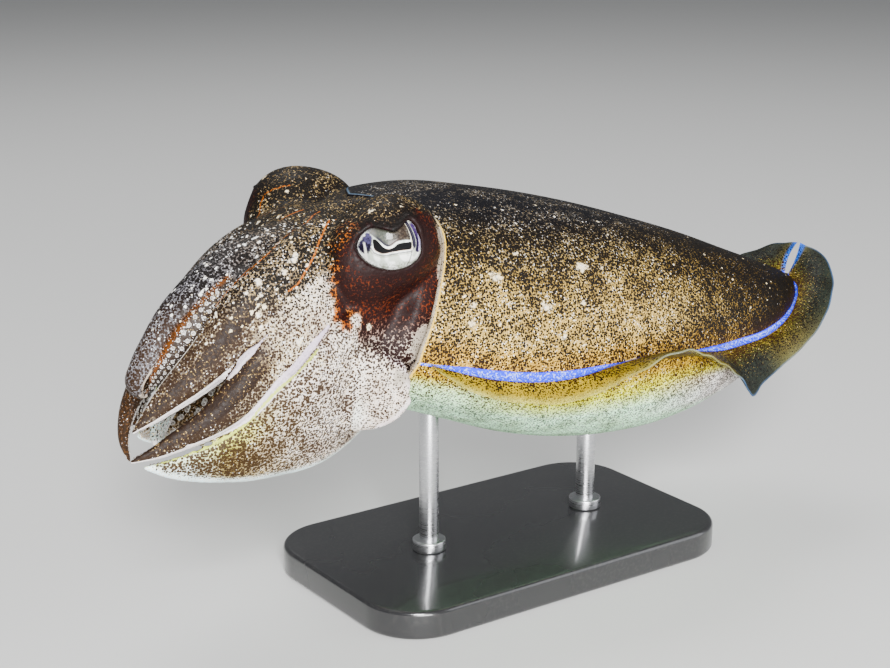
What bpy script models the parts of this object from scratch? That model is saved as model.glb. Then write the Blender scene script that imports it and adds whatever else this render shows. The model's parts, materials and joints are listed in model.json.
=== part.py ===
"""A life-size pharaoh cuttlefish, hovering, on a plain display stand.

The animal's head points along -X and its back along +Z, so its left side faces -Y.
Tables are in millimetres, in the body's own frame: X = 0 lies a little behind the
collar, and Z is the height above the floor. Everything hangs from one empty that puts
the middle of the stand's underside at the origin.
"""
import math
from collections import namedtuple

import bmesh
import bpy
import numpy as np
from mathutils import Matrix, Vector

MM = 0.001
GAP = 0.3
BODY_X = -22.0
FLOOR_Z = 10.0

# Mantle: station X, height of the back, of the fin line and of the belly, half width.
MANTLE = np.array([
    (-42, 132.0, 95.5, 74.0, 36.0),
    (-27, 134.5, 91.0, 71.5, 38.0),
    (-10, 134.5, 86.0, 65.0, 41.0),
    (10, 131.0, 82.5, 57.0, 42.5),
    (30, 126.5, 81.5, 51.5, 42.5),
    (50, 121.0, 80.5, 48.5, 41.0),
    (70, 114.5, 79.0, 48.0, 38.0),
    (90, 107.5, 77.0, 50.5, 32.5),
    (110, 99.5, 76.0, 56.5, 26.5),
    (125, 93.5, 77.5, 64.0, 20.0),
    (137, 88.5, 80.5, 73.5, 12.0),
    (144, 85.0, 83.0, 81.0, 4.5),
])
MANTLE_SIDES = 32
MANTLE_SQUARE = 0.92
TAIL = (145.5, 0.0, 83.0)
COLLAR_X = -27.0
COLLAR_FADE_X = 25.0
RIM = 2.6
RECESS_FLOOR_X = -10.0
# Collar: the angle down from the middle of the back in degrees, and the X of the edge there.
COLLAR = np.array([
    (0, -33.0), (10, -29.0), (20, -22.5), (30, -18.8), (40, -18.8), (50, -21.3), (60, -24.6),
    (75, -29.3), (90, -34.3), (105, -37.3), (120, -37.0), (140, -33.0), (160, -29.0), (180, -27.0),
])

# Head: ellipsoids that melt into one another, each with its centre and half sizes.
HEAD_CENTRE = (-45.0, 0.0, 104.0)
HEAD_FORMS = [
    ((-46, 0, 104), (24, 31, 27.5)),
    ((-58, 0, 103), (17, 25, 23.5)),
    ((-24, 0, 104), (22, 29, 27)),
    ((-45.5, -25, 120.5), (11.5, 10, 11.5)),
    ((-41, 24, 120.5), (11, 10, 11.5)),
    ((-33, -23, 123.5), (13, 11, 12)),
    ((-31, 22.5, 124), (13, 11, 12)),
]
HEAD_MELT = 2.2
EYE_CENTRE = (-37.0, 26.0, 125.3)
EYE_RADIUS = 11.0
EYE_COVER = 1.0
EYE_YAW = 16.0
EYE_SIDES = (18, 12)
EYE_CUT_DEPTH = 30.0
LID_OUTLINE = [
    (-10.2, 1.7), (-9.6, 3.9), (-8.4, 5.5), (-6.8, 6.5), (-5.2, 6.6), (-3.7, 5.9), (-2.3, 5.0),
    (-0.7, 4.9), (0.8, 5.8), (2.0, 7.3), (3.4, 7.6), (4.7, 6.5), (5.5, 4.4), (6.2, 1.8),
    (5.8, -1.1), (4.3, -3.4), (1.8, -5.1), (-1.2, -5.8), (-4.1, -5.7), (-6.7, -5.0), (-8.8, -3.2),
    (-9.9, -0.8),
]
PUPIL_OUTLINE = [
    (-6.9, 1.9), (-6.2, 0.4), (-5.0, -0.8), (-3.3, -1.3), (-1.2, -0.9), (1.0, -0.8), (3.1, -0.5),
    (3.6, 0.9), (1.3, 1.1), (-0.7, 0.5), (-2.5, -0.1), (-4.3, 0.2), (-5.7, 1.5), (-6.4, 2.4),
]
PUPIL_DEPTH = 0.7

# Arms: spine X, Y, Z, half width, outer and inner thickness at each point, root to tip.
# The Y of a left arm is negative. Each also has the direction that its outer face looks.
ARMS = {
    "arm_left_1": ((-0.35, -0.30, 1.0), [
        (-48, -8.5, 123.5, 8.4, 5.5, 5.0), (-59, -8.5, 124, 8.4, 5.5, 5.0),
        (-68, -8.4, 121.8, 8.8, 5.6, 5.0), (-77, -8.4, 118.2, 8.3, 5.6, 5.0),
        (-85, -8.5, 113.6, 7.5, 5.4, 4.8), (-93, -8.8, 107.8, 6.2, 4.9, 4.2),
        (-99, -9.0, 102.0, 4.8, 3.9, 3.2), (-103.5, -9.1, 96.8, 3.7, 2.8, 2.2),
        (-105.6, -9, 92.5, 2.8, 1.8, 1.4), (-104.4, -8.6, 89.8, 2.0, 1.2, 1.0),
        (-102, -8.3, 89.2, 1.4, 0.9, 0.7), (-100.6, -8, 91, 0.6, 0.5, 0.4),
    ]),
    "arm_left_2": ((-0.25, -0.86, 0.25), [
        (-48, -19, 124, 9.5, 6.0, 5.0), (-57, -20, 121.5, 9.8, 6.0, 5.0),
        (-66, -21, 117.5, 9.4, 6.0, 5.0), (-74, -21.8, 113, 8.6, 5.6, 4.6),
        (-80.5, -22, 108, 7.8, 5.2, 4.2), (-86, -22, 103, 6.6, 4.7, 3.8),
        (-91, -21.8, 98.8, 5.7, 4.2, 3.3), (-96, -21.3, 95, 4.8, 3.5, 2.8),
        (-101, -20.8, 91.5, 3.7, 2.8, 2.2), (-106, -20.3, 87.8, 2.4, 1.9, 1.5),
        (-112, -20, 83.6, 0.6, 0.5, 0.45),
    ]),
    "arm_left_3": ((-0.20, -0.95, 0.0), [
        (-46, -22, 112, 10.0, 6.0, 5.0), (-54, -24, 110.5, 10.0, 6.0, 5.0),
        (-63, -26, 106, 10.0, 5.8, 4.8), (-71, -27.3, 100.8, 9.2, 5.3, 4.4),
        (-79, -28, 94.6, 7.6, 4.8, 3.8), (-87, -28, 88.8, 5.6, 4.0, 3.1),
        (-93.5, -27.6, 85, 4.1, 3.2, 2.5), (-100, -27, 82.4, 3.1, 2.4, 1.9),
        (-107, -26.4, 80, 2.0, 1.6, 1.2), (-115.5, -26, 78.2, 0.6, 0.5, 0.45),
    ]),
    "arm_left_4": ((-0.10, -0.93, -0.35), [
        (-33, -19, 96, 17.0, 5.0, 4.5), (-43, -22.5, 92.5, 20.5, 5.2, 4.5),
        (-52.5, -25.5, 86.5, 21.5, 5.4, 4.5), (-62, -27, 81.2, 19.5, 5.2, 4.2),
        (-71.5, -27, 77.6, 15.8, 4.6, 3.6), (-81, -26.5, 74.4, 10.8, 3.8, 2.9),
        (-90, -25.5, 73, 6.9, 3.0, 2.3), (-98, -24.6, 73, 4.4, 2.2, 1.7),
        (-105, -23.8, 73.7, 2.4, 1.5, 1.2), (-110.5, -23, 74.8, 0.6, 0.5, 0.45),
    ]),
    "arm_right_1": ((-0.6, 0.30, 0.75), [
        (-48, 8.5, 123.5, 8.4, 5.5, 5.0), (-59, 8.7, 122, 8.4, 5.5, 5.0),
        (-67, 9, 118, 8.4, 5.6, 5.0), (-75, 9.5, 111.5, 8.0, 5.4, 4.6),
        (-82.5, 10, 103, 7.0, 5.0, 4.0), (-89, 10, 94, 5.6, 4.3, 3.3),
        (-96, 9.5, 85.5, 4.3, 3.3, 2.6), (-100.2, 9, 77.5, 3.0, 2.4, 1.8),
        (-101.6, 8.5, 71, 1.8, 1.5, 1.2), (-100.4, 8, 65.0, 0.6, 0.5, 0.4),
    ]),
    "arm_right_2": ((-0.45, 0.80, 0.35), [
        (-46, 18, 119, 9.5, 6.0, 5.0), (-56, 20, 114.5, 9.6, 6.0, 5.0),
        (-64, 21, 109, 9.4, 6.0, 4.8), (-72, 21.5, 102, 8.6, 5.4, 4.4),
        (-79, 21.5, 94.8, 7.2, 4.9, 3.9), (-85, 21.2, 87.8, 5.7, 4.2, 3.3),
        (-89.5, 20.8, 81.6, 4.3, 3.3, 2.6), (-92, 20.3, 75.6, 2.9, 2.2, 1.8),
        (-92.2, 20, 71, 1.7, 1.4, 1.1), (-91.5, 19.6, 67, 0.6, 0.5, 0.45),
    ]),
    "arm_right_3": ((-0.20, 0.95, 0.0), [
        (-46, 22, 107, 10.0, 6.0, 5.0), (-54, 24, 104.5, 10.0, 6.0, 5.0),
        (-62.5, 24.5, 99.5, 9.4, 5.6, 4.6), (-71, 22, 93.5, 7.8, 5.0, 4.0),
        (-78.5, 17.5, 87, 6.0, 4.0, 3.2), (-85, 13, 80.5, 4.4, 3.0, 2.2),
        (-89.5, 10, 74.5, 3.1, 2.0, 1.5), (-91.5, 8.5, 70.3, 2.3, 1.4, 1.1),
        (-90.5, 8, 67.5, 1.7, 1.1, 0.9), (-88.3, 7.6, 67.4, 1.2, 0.8, 0.7),
        (-87.2, 7.3, 69.5, 0.5, 0.4, 0.4),
    ]),
    "arm_right_4": ((-0.10, 0.93, -0.35), [
        (-33, 19, 96, 17.0, 5.0, 4.5), (-43, 22.5, 92, 20.0, 5.2, 4.5),
        (-52, 25, 86, 20.5, 5.4, 4.5), (-61, 25.5, 80.4, 18.0, 5.2, 4.2),
        (-69.5, 24.5, 76, 13.8, 4.5, 3.6), (-77, 22.5, 72.5, 9.5, 3.7, 2.9),
        (-83, 20, 70.2, 6.2, 2.9, 2.3), (-88, 17.6, 69.2, 3.9, 2.2, 1.7),
        (-92, 15.6, 69, 2.2, 1.5, 1.2), (-95, 14, 69.5, 0.6, 0.5, 0.45),
    ]),
}
ARM_RINGS = 15
RING_CROWDING = 1.3
ARM_SIDES = 10
ARM_SPLIT = 0.56

ARM_LEAST = 0.35
ARM_SQUARE = 0.95
TIP_REACH = 0.6

# Suckers: two rows along the inner face of every arm, out to its tip. Start and end are
# shares of the arm's length, the radius and the rows' places are shares of its half width.
SUCKER_START = 0.24
SUCKER_END = 0.965
SUCKER_SHARE = 0.26
SUCKER_SIZES = (0.55, 1.7)
SUCKER_ROW = 0.42
SUCKER_ROW_MOST = 3.6
SUCKER_ROW_LEAST = 0.62
SUCKER_PITCH = 3.2
SUCKER_ROOM = 0.6
SUCKER_CLEAR = 0.5
SUCKER_LEAN = 0.8
SUCKER_SIDES = 6
# Height and radius of the foot and the rim, and the height of the cup's floor, by its radius.
SUCKER_FOOT = (-0.7, 0.7)
SUCKER_RIM = (0.75, 1.0)
SUCKER_FLOOR = 0.3
# The fourth arms are wide webs, so their suckers follow the upper edge.
WEB_FROM = 8.0
WEB_SHIFT = 0.42

# Fins: X on the body, then the margin's X, Y, Z. The Y of the left fin is negative.
FIN_LEFT = np.array([
    (-31, -31.5, -39.5, 92), (-23, -24, -42.5, 86), (-13, -14, -45.5, 81), (4, 6, -47.5, 76.5),
    (16, 19, -49.5, 78), (29, 33, -51.5, 82.5), (39, 43, -52, 85.5), (48, 52, -51, 85.5),
    (57, 62, -49, 81.5), (65, 71, -47, 76.5), (71, 79, -45, 71), (76, 86, -43, 64.5),
    (80, 89, -41.8, 61.8), (86, 95, -39.5, 64), (98, 107, -36, 67), (110, 121, -32.5, 71),
    (121, 135, -27.5, 77), (131, 146.5, -20, 85.5), (138, 151, -11, 92.5),
    (143.5, 149.5, -1.0, 95.5),
])
FIN_RIGHT = np.array([
    (-31, -31.5, 39.5, 92), (-23, -24, 44, 89.5), (-13, -14, 49, 88.5), (4, 5, 54, 86),
    (16, 17, 55, 82), (29, 30, 54, 77.5), (39, 41, 52, 74), (48, 51, 50, 73), (57, 61, 49.5, 75.5),
    (65, 70, 49.5, 80), (72, 78, 48.5, 84), (79, 86, 46, 85.5), (88, 96, 42.5, 83),
    (98, 107, 38.5, 80), (110, 121, 33.5, 80), (121, 134, 27.5, 83), (131, 145, 20, 88.5),
    (138, 150, 11, 93), (143.5, 149, 1.0, 95.5),
])
FIN_ROOT = 2.4
FIN_EDGE = 0.7
FIN_STEPS = 38
FIN_ACROSS = 4
FIN_SINK = 2.0
FIN_BOW = 0.12
FIN_BOW_OUT = 0.7
FIN_BOW_UP = 0.5
FIN_END_THIN = 0.35
FIN_END_STEP = 0.3
FIN_TAPER = 0.6

# Funnel under the head: spine X, Z and outer radius, with the bore's radius and depth.
FUNNEL = np.array([(-16, 86, 8.0), (-30, 83.5, 8.5), (-42, 80.5, 8.0), (-53, 78.5, 6.6), (-60, 78.5, 5.6)])
FUNNEL_BORE = 4.1
FUNNEL_DEPTH = 12.0
FUNNEL_SIDES = 16
FUNNEL_WIDTH = 1.15
FUNNEL_LIP = 0.7

# Mouth in the middle of the arms.
MOUTH_CENTRE = (-72.0, 0.0, 97.0)
MOUTH_SIZE = (8.0, 8.0, 8.5)
LIP_COUNT = 7
LIP_RADIUS = 3.4
LIP_THICK = 1.5
LIP_FORWARD = 0.86

# Stand: a base plate with two rods up to the belly.
BASE_CENTRE_X = 22.0
BASE_SIZE = (130.0, 78.0, 9.0)
BASE_CORNER = 18.0
BASE_BEVEL = 1.5
SHARP_ANGLE = math.radians(35)
ROD_RADIUS = 3.0
ROD_SIDES = 20
ROD_X = (-6.0, 56.0)
ROD_SOCKET = 5.0
ROD_TOP = 68.0

COLOURS = {
    "mantle_skin": (0.20, 0.15, 0.09), "head_skin": (0.22, 0.18, 0.13), "arm_skin": (0.26, 0.21, 0.16),
    "fin_skin": (0.45, 0.36, 0.20), "eye": (0.75, 0.74, 0.68), "mouth": (0.45, 0.32, 0.26),
    "base": (0.03, 0.03, 0.03), "rod": (0.62, 0.62, 0.64),
}


def clear_scene():
    for obj in list(bpy.data.objects):
        bpy.data.objects.remove(obj)


def material(name):
    made = bpy.data.materials.get(name)
    if made is None:
        made = bpy.data.materials.new(name)
        made.use_nodes = True
        shader = made.node_tree.nodes["Principled BSDF"]
        shader.inputs["Base Color"].default_value = (*COLOURS[name], 1.0)
        shader.inputs["Roughness"].default_value = 0.25 if name in ("eye", "rod") else 0.45
        shader.inputs["Metallic"].default_value = 1.0 if name == "rod" else 0.0
    return made


def through(keys, at):
    """Smooth values at given places, from rows of (place, value, value, ...)."""
    keys = np.asarray(keys, float)
    x, y = keys[:, 0], keys[:, 1:]
    step = np.diff(x)[:, None]
    slope = np.diff(y, axis=0) / step
    inner = (slope[:-1] * step[1:] + slope[1:] * step[:-1]) / (step[:-1] + step[1:])
    grade = np.vstack([slope[:1], inner, slope[-1:]])
    at = np.clip(np.atleast_1d(np.asarray(at, float)), x[0], x[-1])
    i = np.clip(np.searchsorted(x, at, side="right") - 1, 0, len(x) - 2)
    h = step[i]
    t = ((at - x[i])[:, None]) / h
    return (
        (2 * t**3 - 3 * t**2 + 1) * y[i] + (t**3 - 2 * t**2 + t) * h * grade[i]
        + (3 * t**2 - 2 * t**3) * y[i + 1] + (t**3 - t**2) * h * grade[i + 1]
    )


def new_object(name, mesh, finish, helper=False):
    obj = bpy.data.objects.new(name, mesh)
    collection = bpy.data.collections["helpers" if helper else "pharaoh_cuttlefish"]
    collection.objects.link(obj)
    mesh.materials.append(material(finish))
    if helper:
        obj.hide_render = True
        obj.display_type = "WIRE"
    return obj


def loft(name, rings, finish, helper=False, start=None, end=None, sheet=False):
    """A closed solid through rings of equal count, in millimetres. Each end has a pole, or, on a
    sheet, a strip across between its two faces."""
    rings = np.asarray(rings, float) * MM
    bm = bmesh.new()
    rows = [[bm.verts.new(p) for p in ring] for ring in rings]
    count = len(rows[0])
    for k in range(count):
        j = (k + 1) % count
        for a, b in zip(rows, rows[1:]):
            bm.faces.new((a[k], a[j], b[j]))
            bm.faces.new((a[k], b[j], b[k]))
    for row, pole in ((rows[0], start), (rows[-1], end)):
        if sheet:
            for k in range(count // 2 - 1):
                bm.faces.new((row[k], row[k + 1], row[count - 2 - k], row[count - 1 - k]))
            continue
        middle = sum((v.co for v in row), Vector()) / count if pole is None else Vector(pole) * MM
        tip = bm.verts.new(middle)
        for k in range(count):
            bm.faces.new((tip, row[k], row[(k + 1) % count]))
    bmesh.ops.triangulate(bm, faces=bm.faces)
    bmesh.ops.recalc_face_normals(bm, faces=bm.faces)
    if bm.calc_volume(signed=True) < 0:
        bmesh.ops.reverse_faces(bm, faces=bm.faces)
    mesh = bpy.data.meshes.new(name)
    bm.to_mesh(mesh)
    bm.free()
    mesh.shade_smooth()
    return new_object(name, mesh, finish, helper)


def sphere(name, centre, size, segments, rings, finish, helper=False):
    """A UV sphere with its poles along X, stretched to three half sizes."""
    bm = bmesh.new()
    bmesh.ops.create_uvsphere(bm, u_segments=segments, v_segments=rings, radius=1.0)
    bmesh.ops.rotate(bm, verts=bm.verts, matrix=Matrix.Rotation(math.pi / 2, 3, "Y"))
    bmesh.ops.scale(bm, verts=bm.verts, vec=Vector(size) * MM)
    bmesh.ops.translate(bm, verts=bm.verts, vec=Vector(centre) * MM)
    mesh = bpy.data.meshes.new(name)
    bm.to_mesh(mesh)
    bm.free()
    mesh.shade_smooth()
    return new_object(name, mesh, finish, helper)


def bake_modifiers(obj):
    graph = bpy.context.evaluated_depsgraph_get()
    mesh = bpy.data.meshes.new_from_object(obj.evaluated_get(graph))
    obj.modifiers.clear()
    obj.data = mesh


def combine(obj, tools, operation, solver="EXACT"):
    """Joins or cuts obj with the tools in one Boolean, applies it, and removes the tools."""
    group = bpy.data.collections.new("tools")
    for tool in tools:
        group.objects.link(tool)
    step = obj.modifiers.new("combine", "BOOLEAN")
    step.operation = operation
    step.solver = solver
    step.operand_type = "COLLECTION"
    step.collection = group
    bake_modifiers(obj)
    for tool in tools:
        bpy.data.objects.remove(tool)
    bpy.data.collections.remove(group)
    keep_largest(obj)
    return obj


def keep_largest(obj):
    """Leaves only the largest closed surface of a mesh, with no stray scraps."""
    bm = bmesh.new()
    bm.from_mesh(obj.data)
    bmesh.ops.remove_doubles(bm, verts=bm.verts, dist=1e-6)
    bmesh.ops.dissolve_degenerate(bm, edges=bm.edges, dist=1e-6)
    left, groups = set(bm.faces), []
    while left:
        found, edge = set(), [left.pop()]
        while edge:
            face = edge.pop()
            found.add(face)
            near = {f for e in face.edges for f in e.link_faces if f in left}
            left -= near
            edge.extend(near)
        groups.append(found)
    if len(groups) > 1:
        biggest = max(groups, key=lambda g: sum(f.calc_area() for f in g))
        bmesh.ops.delete(bm, geom=[f for g in groups if g is not biggest for f in g], context="FACES")
    bmesh.ops.triangulate(bm, faces=bm.faces)
    bm.to_mesh(obj.data)
    bm.free()
    obj.data.shade_smooth()


def rounded(value, power):
    return np.sign(value) * np.abs(value) ** power


def mantle_ring(x, grow=0.0):
    """The mantle's outline at a station, from the middle of the back round by the left side.
    Towards the front it follows the collar's edge."""
    angle = np.linspace(0, 2 * math.pi, MANTLE_SIDES, endpoint=False)
    turn = np.degrees(np.minimum(angle, 2 * math.pi - angle))
    fade = np.clip((COLLAR_FADE_X - x) / (COLLAR_FADE_X - COLLAR_X), 0, 1) ** 1.5
    ring = np.empty((MANTLE_SIDES, 3))
    ring[:, 0] = x + fade * (through(COLLAR, turn)[:, 0] - COLLAR_X)
    back, fin, belly, half = through(MANTLE, ring[:, 0]).T
    up, out = np.cos(angle), np.sin(angle)
    height = np.where(up > 0, back - fin, fin - belly) + grow
    ring[:, 1] = -(half + grow) * rounded(out, MANTLE_SQUARE)
    ring[:, 2] = fin + height * rounded(up, MANTLE_SQUARE)
    return ring


def shrunk(ring, by, x=None):
    """A ring drawn in towards its middle by a distance, and moved to a plane if x is given."""
    middle = ring.mean(axis=0)
    ray = ring - middle
    ray[:, 0] = 0
    reach = np.linalg.norm(ray, axis=1, keepdims=True)
    inner = ring - ray / reach * by
    if x is not None:
        inner[:, 0] = x
    return inner


def mantle_stations():
    tail = TAIL[0] - np.array([1.2, 4.0, 8.5])
    return np.concatenate([tail, np.linspace(129, 2, 14), np.linspace(-6, COLLAR_X, 4)])


def make_mantle(name="mantle", grow=0.0):
    """The mantle, open in front round a recess for the neck. A grown copy serves as a cutter."""
    rings = [mantle_ring(x, grow) for x in mantle_stations()]
    rim = mantle_ring(COLLAR_X)
    lip = shrunk(rim, RIM / 2)
    lip[:, 0] -= RIM / 3 + 2 * grow
    inside = shrunk(rim, RIM + 2 * grow)
    floor = shrunk(inside, 1.0, RECESS_FLOOR_X - grow)
    tail = (TAIL[0] + grow, TAIL[1], TAIL[2])
    middle = (RECESS_FLOOR_X - grow, 0, floor[:, 2].mean())
    return loft(name, [*rings, lip, inside, floor], "mantle_skin", grow > 0, tail, middle)


def head_depth(points, forms, melt):
    """How far points lie outside the melted ellipsoids, roughly in millimetres."""
    total = 0.0
    for centre, size in forms:
        centre, size = np.array(centre, float), np.array(size, float)
        scaled = (points - centre) / size
        k0 = np.linalg.norm(scaled, axis=-1)
        k1 = np.linalg.norm(scaled / size, axis=-1)
        total = total + np.exp(-k0 * (k0 - 1) / np.maximum(k1, 1e-6) / melt)
    return -melt * np.log(total)


def head_forms():
    return HEAD_FORMS + [(eye_at(side), (EYE_RADIUS + EYE_COVER,) * 3) for side in (-1, 1)]


def head_shell(name, finish, grow=0.0, helper=False, segments=30, rings=20):
    """A UV sphere drawn out along its rays to the head's surface, flat where the neck ends."""
    obj = sphere(name, (0, 0, 0), (1, 1, 1), segments, rings, finish, helper)
    ray = np.array([v.co for v in obj.data.vertices]) / MM
    ray /= np.linalg.norm(ray, axis=1, keepdims=True)
    near, far = np.full(len(ray), 5.0), np.full(len(ray), 70.0)
    centre = np.array(HEAD_CENTRE)
    forms = head_forms()
    for _ in range(30):
        middle = (near + far) / 2
        outside = head_depth(centre + ray * middle[:, None], forms, HEAD_MELT) > grow
        far = np.where(outside, middle, far)
        near = np.where(outside, near, middle)
    back = RECESS_FLOOR_X - GAP + (grow if helper else 0.0) - centre[0]
    reach = np.where(ray[:, 0] > 0.05, np.minimum(near, back / np.maximum(ray[:, 0], 0.05)), near)
    for v, p in zip(obj.data.vertices, (centre + ray * reach[:, None]) * MM):
        v.co = p
    return obj


def prism(name, outline, side, depth):
    """An outline as the eye looks outwards, drawn out from the eye's centre."""
    curve = bpy.data.curves.new(name, "CURVE")
    curve.dimensions = "2D"
    curve.fill_mode = "BOTH"
    curve.extrude = depth / 2 * MM
    line = curve.splines.new("POLY")
    line.points.add(len(outline) - 1)
    for point, (x, z) in zip(line.points, outline):
        point.co = (x * MM, z * MM, 0, 1)
    line.use_cyclic_u = True
    flat = bpy.data.objects.new(name + "_curve", curve)
    bpy.data.collections["helpers"].objects.link(flat)
    mesh = bpy.data.meshes.new_from_object(flat.evaluated_get(bpy.context.evaluated_depsgraph_get()))
    bpy.data.objects.remove(flat)
    bm = bmesh.new()
    bm.from_mesh(mesh)
    bmesh.ops.remove_doubles(bm, verts=bm.verts, dist=1e-6)
    mirror = Matrix.Diagonal((1, -side, 1, 1))
    flip = Matrix.Rotation(math.radians(-EYE_YAW), 4, "Z") @ Matrix.Rotation(math.pi / 2, 4, "X")
    out = Matrix.Translation((0, 0, depth / 2 * MM))
    place = Matrix.Translation(Vector(eye_at(side)) * MM) @ mirror @ flip @ out
    bmesh.ops.transform(bm, verts=bm.verts, matrix=place)
    bmesh.ops.recalc_face_normals(bm, faces=bm.faces)
    bm.to_mesh(mesh)
    bm.free()
    mesh.materials.clear()
    return new_object(name, mesh, "eye", helper=True)


def eye_at(side):
    return (EYE_CENTRE[0], side * EYE_CENTRE[1], EYE_CENTRE[2])


def make_head():
    head = head_shell("head", "head_skin")
    tools = []
    for side in (-1, 1):
        size = (EYE_RADIUS + GAP,) * 3
        tools.append(sphere("socket", eye_at(side), size, *EYE_SIDES, "eye", helper=True))
        tools.append(prism("lid_cut", LID_OUTLINE, side, EYE_CUT_DEPTH))
    combine(head, [make_mantle("mantle_grown", GAP)], "DIFFERENCE")
    return combine(head, tools, "DIFFERENCE")


def make_eye(name, side):
    eye = sphere(name, eye_at(side), (EYE_RADIUS,) * 3, *EYE_SIDES, "eye")
    pupil = prism("pupil_cut", PUPIL_OUTLINE, side, EYE_CUT_DEPTH)
    size = (EYE_RADIUS - PUPIL_DEPTH,) * 3
    core = sphere("pupil_floor", eye_at(side), size, *EYE_SIDES, "eye", helper=True)
    combine(pupil, [core], "DIFFERENCE")
    return combine(eye, [pupil], "DIFFERENCE")


Frames = namedtuple("Frames", "place wide out along size share length")


def arm_frames(name, count):
    """Places along an arm with their width, outer and forward axes, sizes and share of length."""
    outer, spine = ARMS[name]
    spine = np.array(spine, float)
    steps = np.linalg.norm(np.diff(spine[:, :3], axis=0), axis=1)
    length = np.concatenate([[0], np.cumsum(steps)])
    keys = np.column_stack([length / length[-1], spine])
    share = 1 - (1 - np.linspace(0, 1, count)) ** RING_CROWDING
    value = through(keys, share)
    ahead = through(keys, share + 1e-3)[:, :3] - through(keys, share - 1e-3)[:, :3]
    along = ahead / np.linalg.norm(ahead, axis=1, keepdims=True)
    out = np.empty_like(along)
    last = np.array(outer, float)
    for i, t in enumerate(along):
        last = last - t * (last @ t)
        last = last / np.linalg.norm(last)
        out[i] = last
    size = np.maximum(value[:, 3:], ARM_LEAST)
    return Frames(value[:, :3], np.cross(along, out), out, along, size, share, length[-1])


def arm_rings(frames, grow=0.0):
    """Oval rings round an arm, thicker on its outer side than on its inner one."""
    angle = np.linspace(0, 2 * math.pi, ARM_SIDES, endpoint=False)
    across, high = np.cos(angle), np.sin(angle)
    rings = []
    for place, wide, out, (half, thick, thin) in zip(frames.place, frames.wide, frames.out, frames.size):
        a = (half + grow) * rounded(across, ARM_SQUARE)
        h = np.where(high > 0, thick + grow, thin + grow) * rounded(high, ARM_SQUARE)
        rings.append(place + a[:, None] * wide + h[:, None] * out)
    return np.array(rings)


def make_arm(name, grow=0.0, helper=False):
    frames = arm_frames(name, ARM_RINGS)
    tip = frames.place[-1] + frames.along[-1] * (TIP_REACH + grow)
    return loft(name + ("_grown" if helper else ""), arm_rings(frames, grow), "arm_skin", helper, end=tip)


def sucker(place, facing, radius):
    """A cup with a hollow rim, its foot sunk in the arm."""
    turn = facing.to_track_quat("Z", "Y").to_matrix().to_4x4()
    bm = bmesh.new()
    rings = []
    for height, wide in (SUCKER_FOOT, SUCKER_RIM):
        angles = [2 * math.pi * k / SUCKER_SIDES for k in range(SUCKER_SIDES)]
        rings.append([bm.verts.new((math.cos(a) * wide, math.sin(a) * wide, height)) for a in angles])
    foot = bm.verts.new((0, 0, SUCKER_FOOT[0]))
    cup = bm.verts.new((0, 0, SUCKER_FLOOR))
    for k in range(SUCKER_SIDES):
        j = (k + 1) % SUCKER_SIDES
        bm.faces.new((rings[0][k], rings[0][j], rings[1][j], rings[1][k]))
        bm.faces.new((rings[0][j], rings[0][k], foot))
        bm.faces.new((rings[1][k], rings[1][j], cup))
    bmesh.ops.scale(bm, verts=bm.verts, vec=(radius * MM,) * 3)
    bmesh.ops.transform(bm, verts=bm.verts, matrix=Matrix.Translation(place * MM) @ turn)
    bmesh.ops.recalc_face_normals(bm, faces=bm.faces)
    mesh = bpy.data.meshes.new("sucker")
    bm.to_mesh(mesh)
    bm.free()
    return new_object("sucker", mesh, "arm_skin", helper=True)


def is_free(point, name, room):
    """Whether a point keeps its distance from the head, the mouth and every other arm."""
    forms = [*head_forms(), (MOUTH_CENTRE, MOUTH_SIZE)]
    if head_depth(point, forms, HEAD_MELT) < room:
        return False
    for other in ARMS:
        if other == name:
            continue
        frames = arm_frames(other, 60)
        i = int(np.argmin(np.linalg.norm(frames.place - point, axis=1)))
        away = point - frames.place[i]
        across, high = away @ frames.wide[i], away @ frames.out[i]
        half, thick, thin = frames.size[i] + room
        inside = (across / half) ** 2 + (high / (thick if high > 0 else thin)) ** 2 < 1
        if inside and abs(away @ frames.along[i]) < room + 2:
            return False
    return True


def sucker_places(name):
    """Place, outward direction and radius of each sucker on one arm."""
    frames = arm_frames(name, 120)
    at = SUCKER_START
    while at < SUCKER_END:
        i = int(np.searchsorted(frames.share, at))
        wide, out = frames.wide[i], frames.out[i]
        half, _, thin = frames.size[i]
        radius = min(max(SUCKER_SHARE * half, SUCKER_SIZES[0]), SUCKER_SIZES[1])
        row = max(min(SUCKER_ROW * half, SUCKER_ROW_MOST), SUCKER_ROW_LEAST * radius)
        web = WEB_SHIFT * max(half - WEB_FROM, 0.0) * np.sign(wide[2]) if name.endswith("4") else 0.0
        for side in (-1, 1):
            across = web + side * row
            depth = thin * math.sqrt(max(0.0, 1 - (across / half) ** 2))
            slope = across / half**2 * thin**2 / max(depth, 0.3)
            facing = wide * slope * SUCKER_LEAN - out
            foot = frames.place[i] + wide * across - out * depth
            if is_free(foot + facing * radius, name, radius + SUCKER_CLEAR):
                yield Vector(foot), Vector(facing).normalized(), radius
        at += (SUCKER_PITCH * radius + SUCKER_ROOM) / frames.length


def half_space(name, arm, keep_tip):
    """A box over one side of the cut between an arm's two lengths."""
    frames = arm_frames(arm, 200)
    i = int(ARM_SPLIT * 199)
    middle, ahead = Vector(frames.place[i]), Vector(frames.along[i])
    way = -ahead if keep_tip else ahead
    size = 60.0
    bm = bmesh.new()
    bmesh.ops.create_cube(bm, size=size * MM)
    turn = way.to_track_quat("Z", "Y").to_matrix().to_4x4()
    centre = middle + way * (size / 2 - GAP / 2)
    bmesh.ops.transform(bm, verts=bm.verts, matrix=Matrix.Translation(centre * MM) @ turn)
    mesh = bpy.data.meshes.new(name)
    bm.to_mesh(mesh)
    bm.free()
    return new_object(name, mesh, "arm_skin", helper=True)


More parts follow.
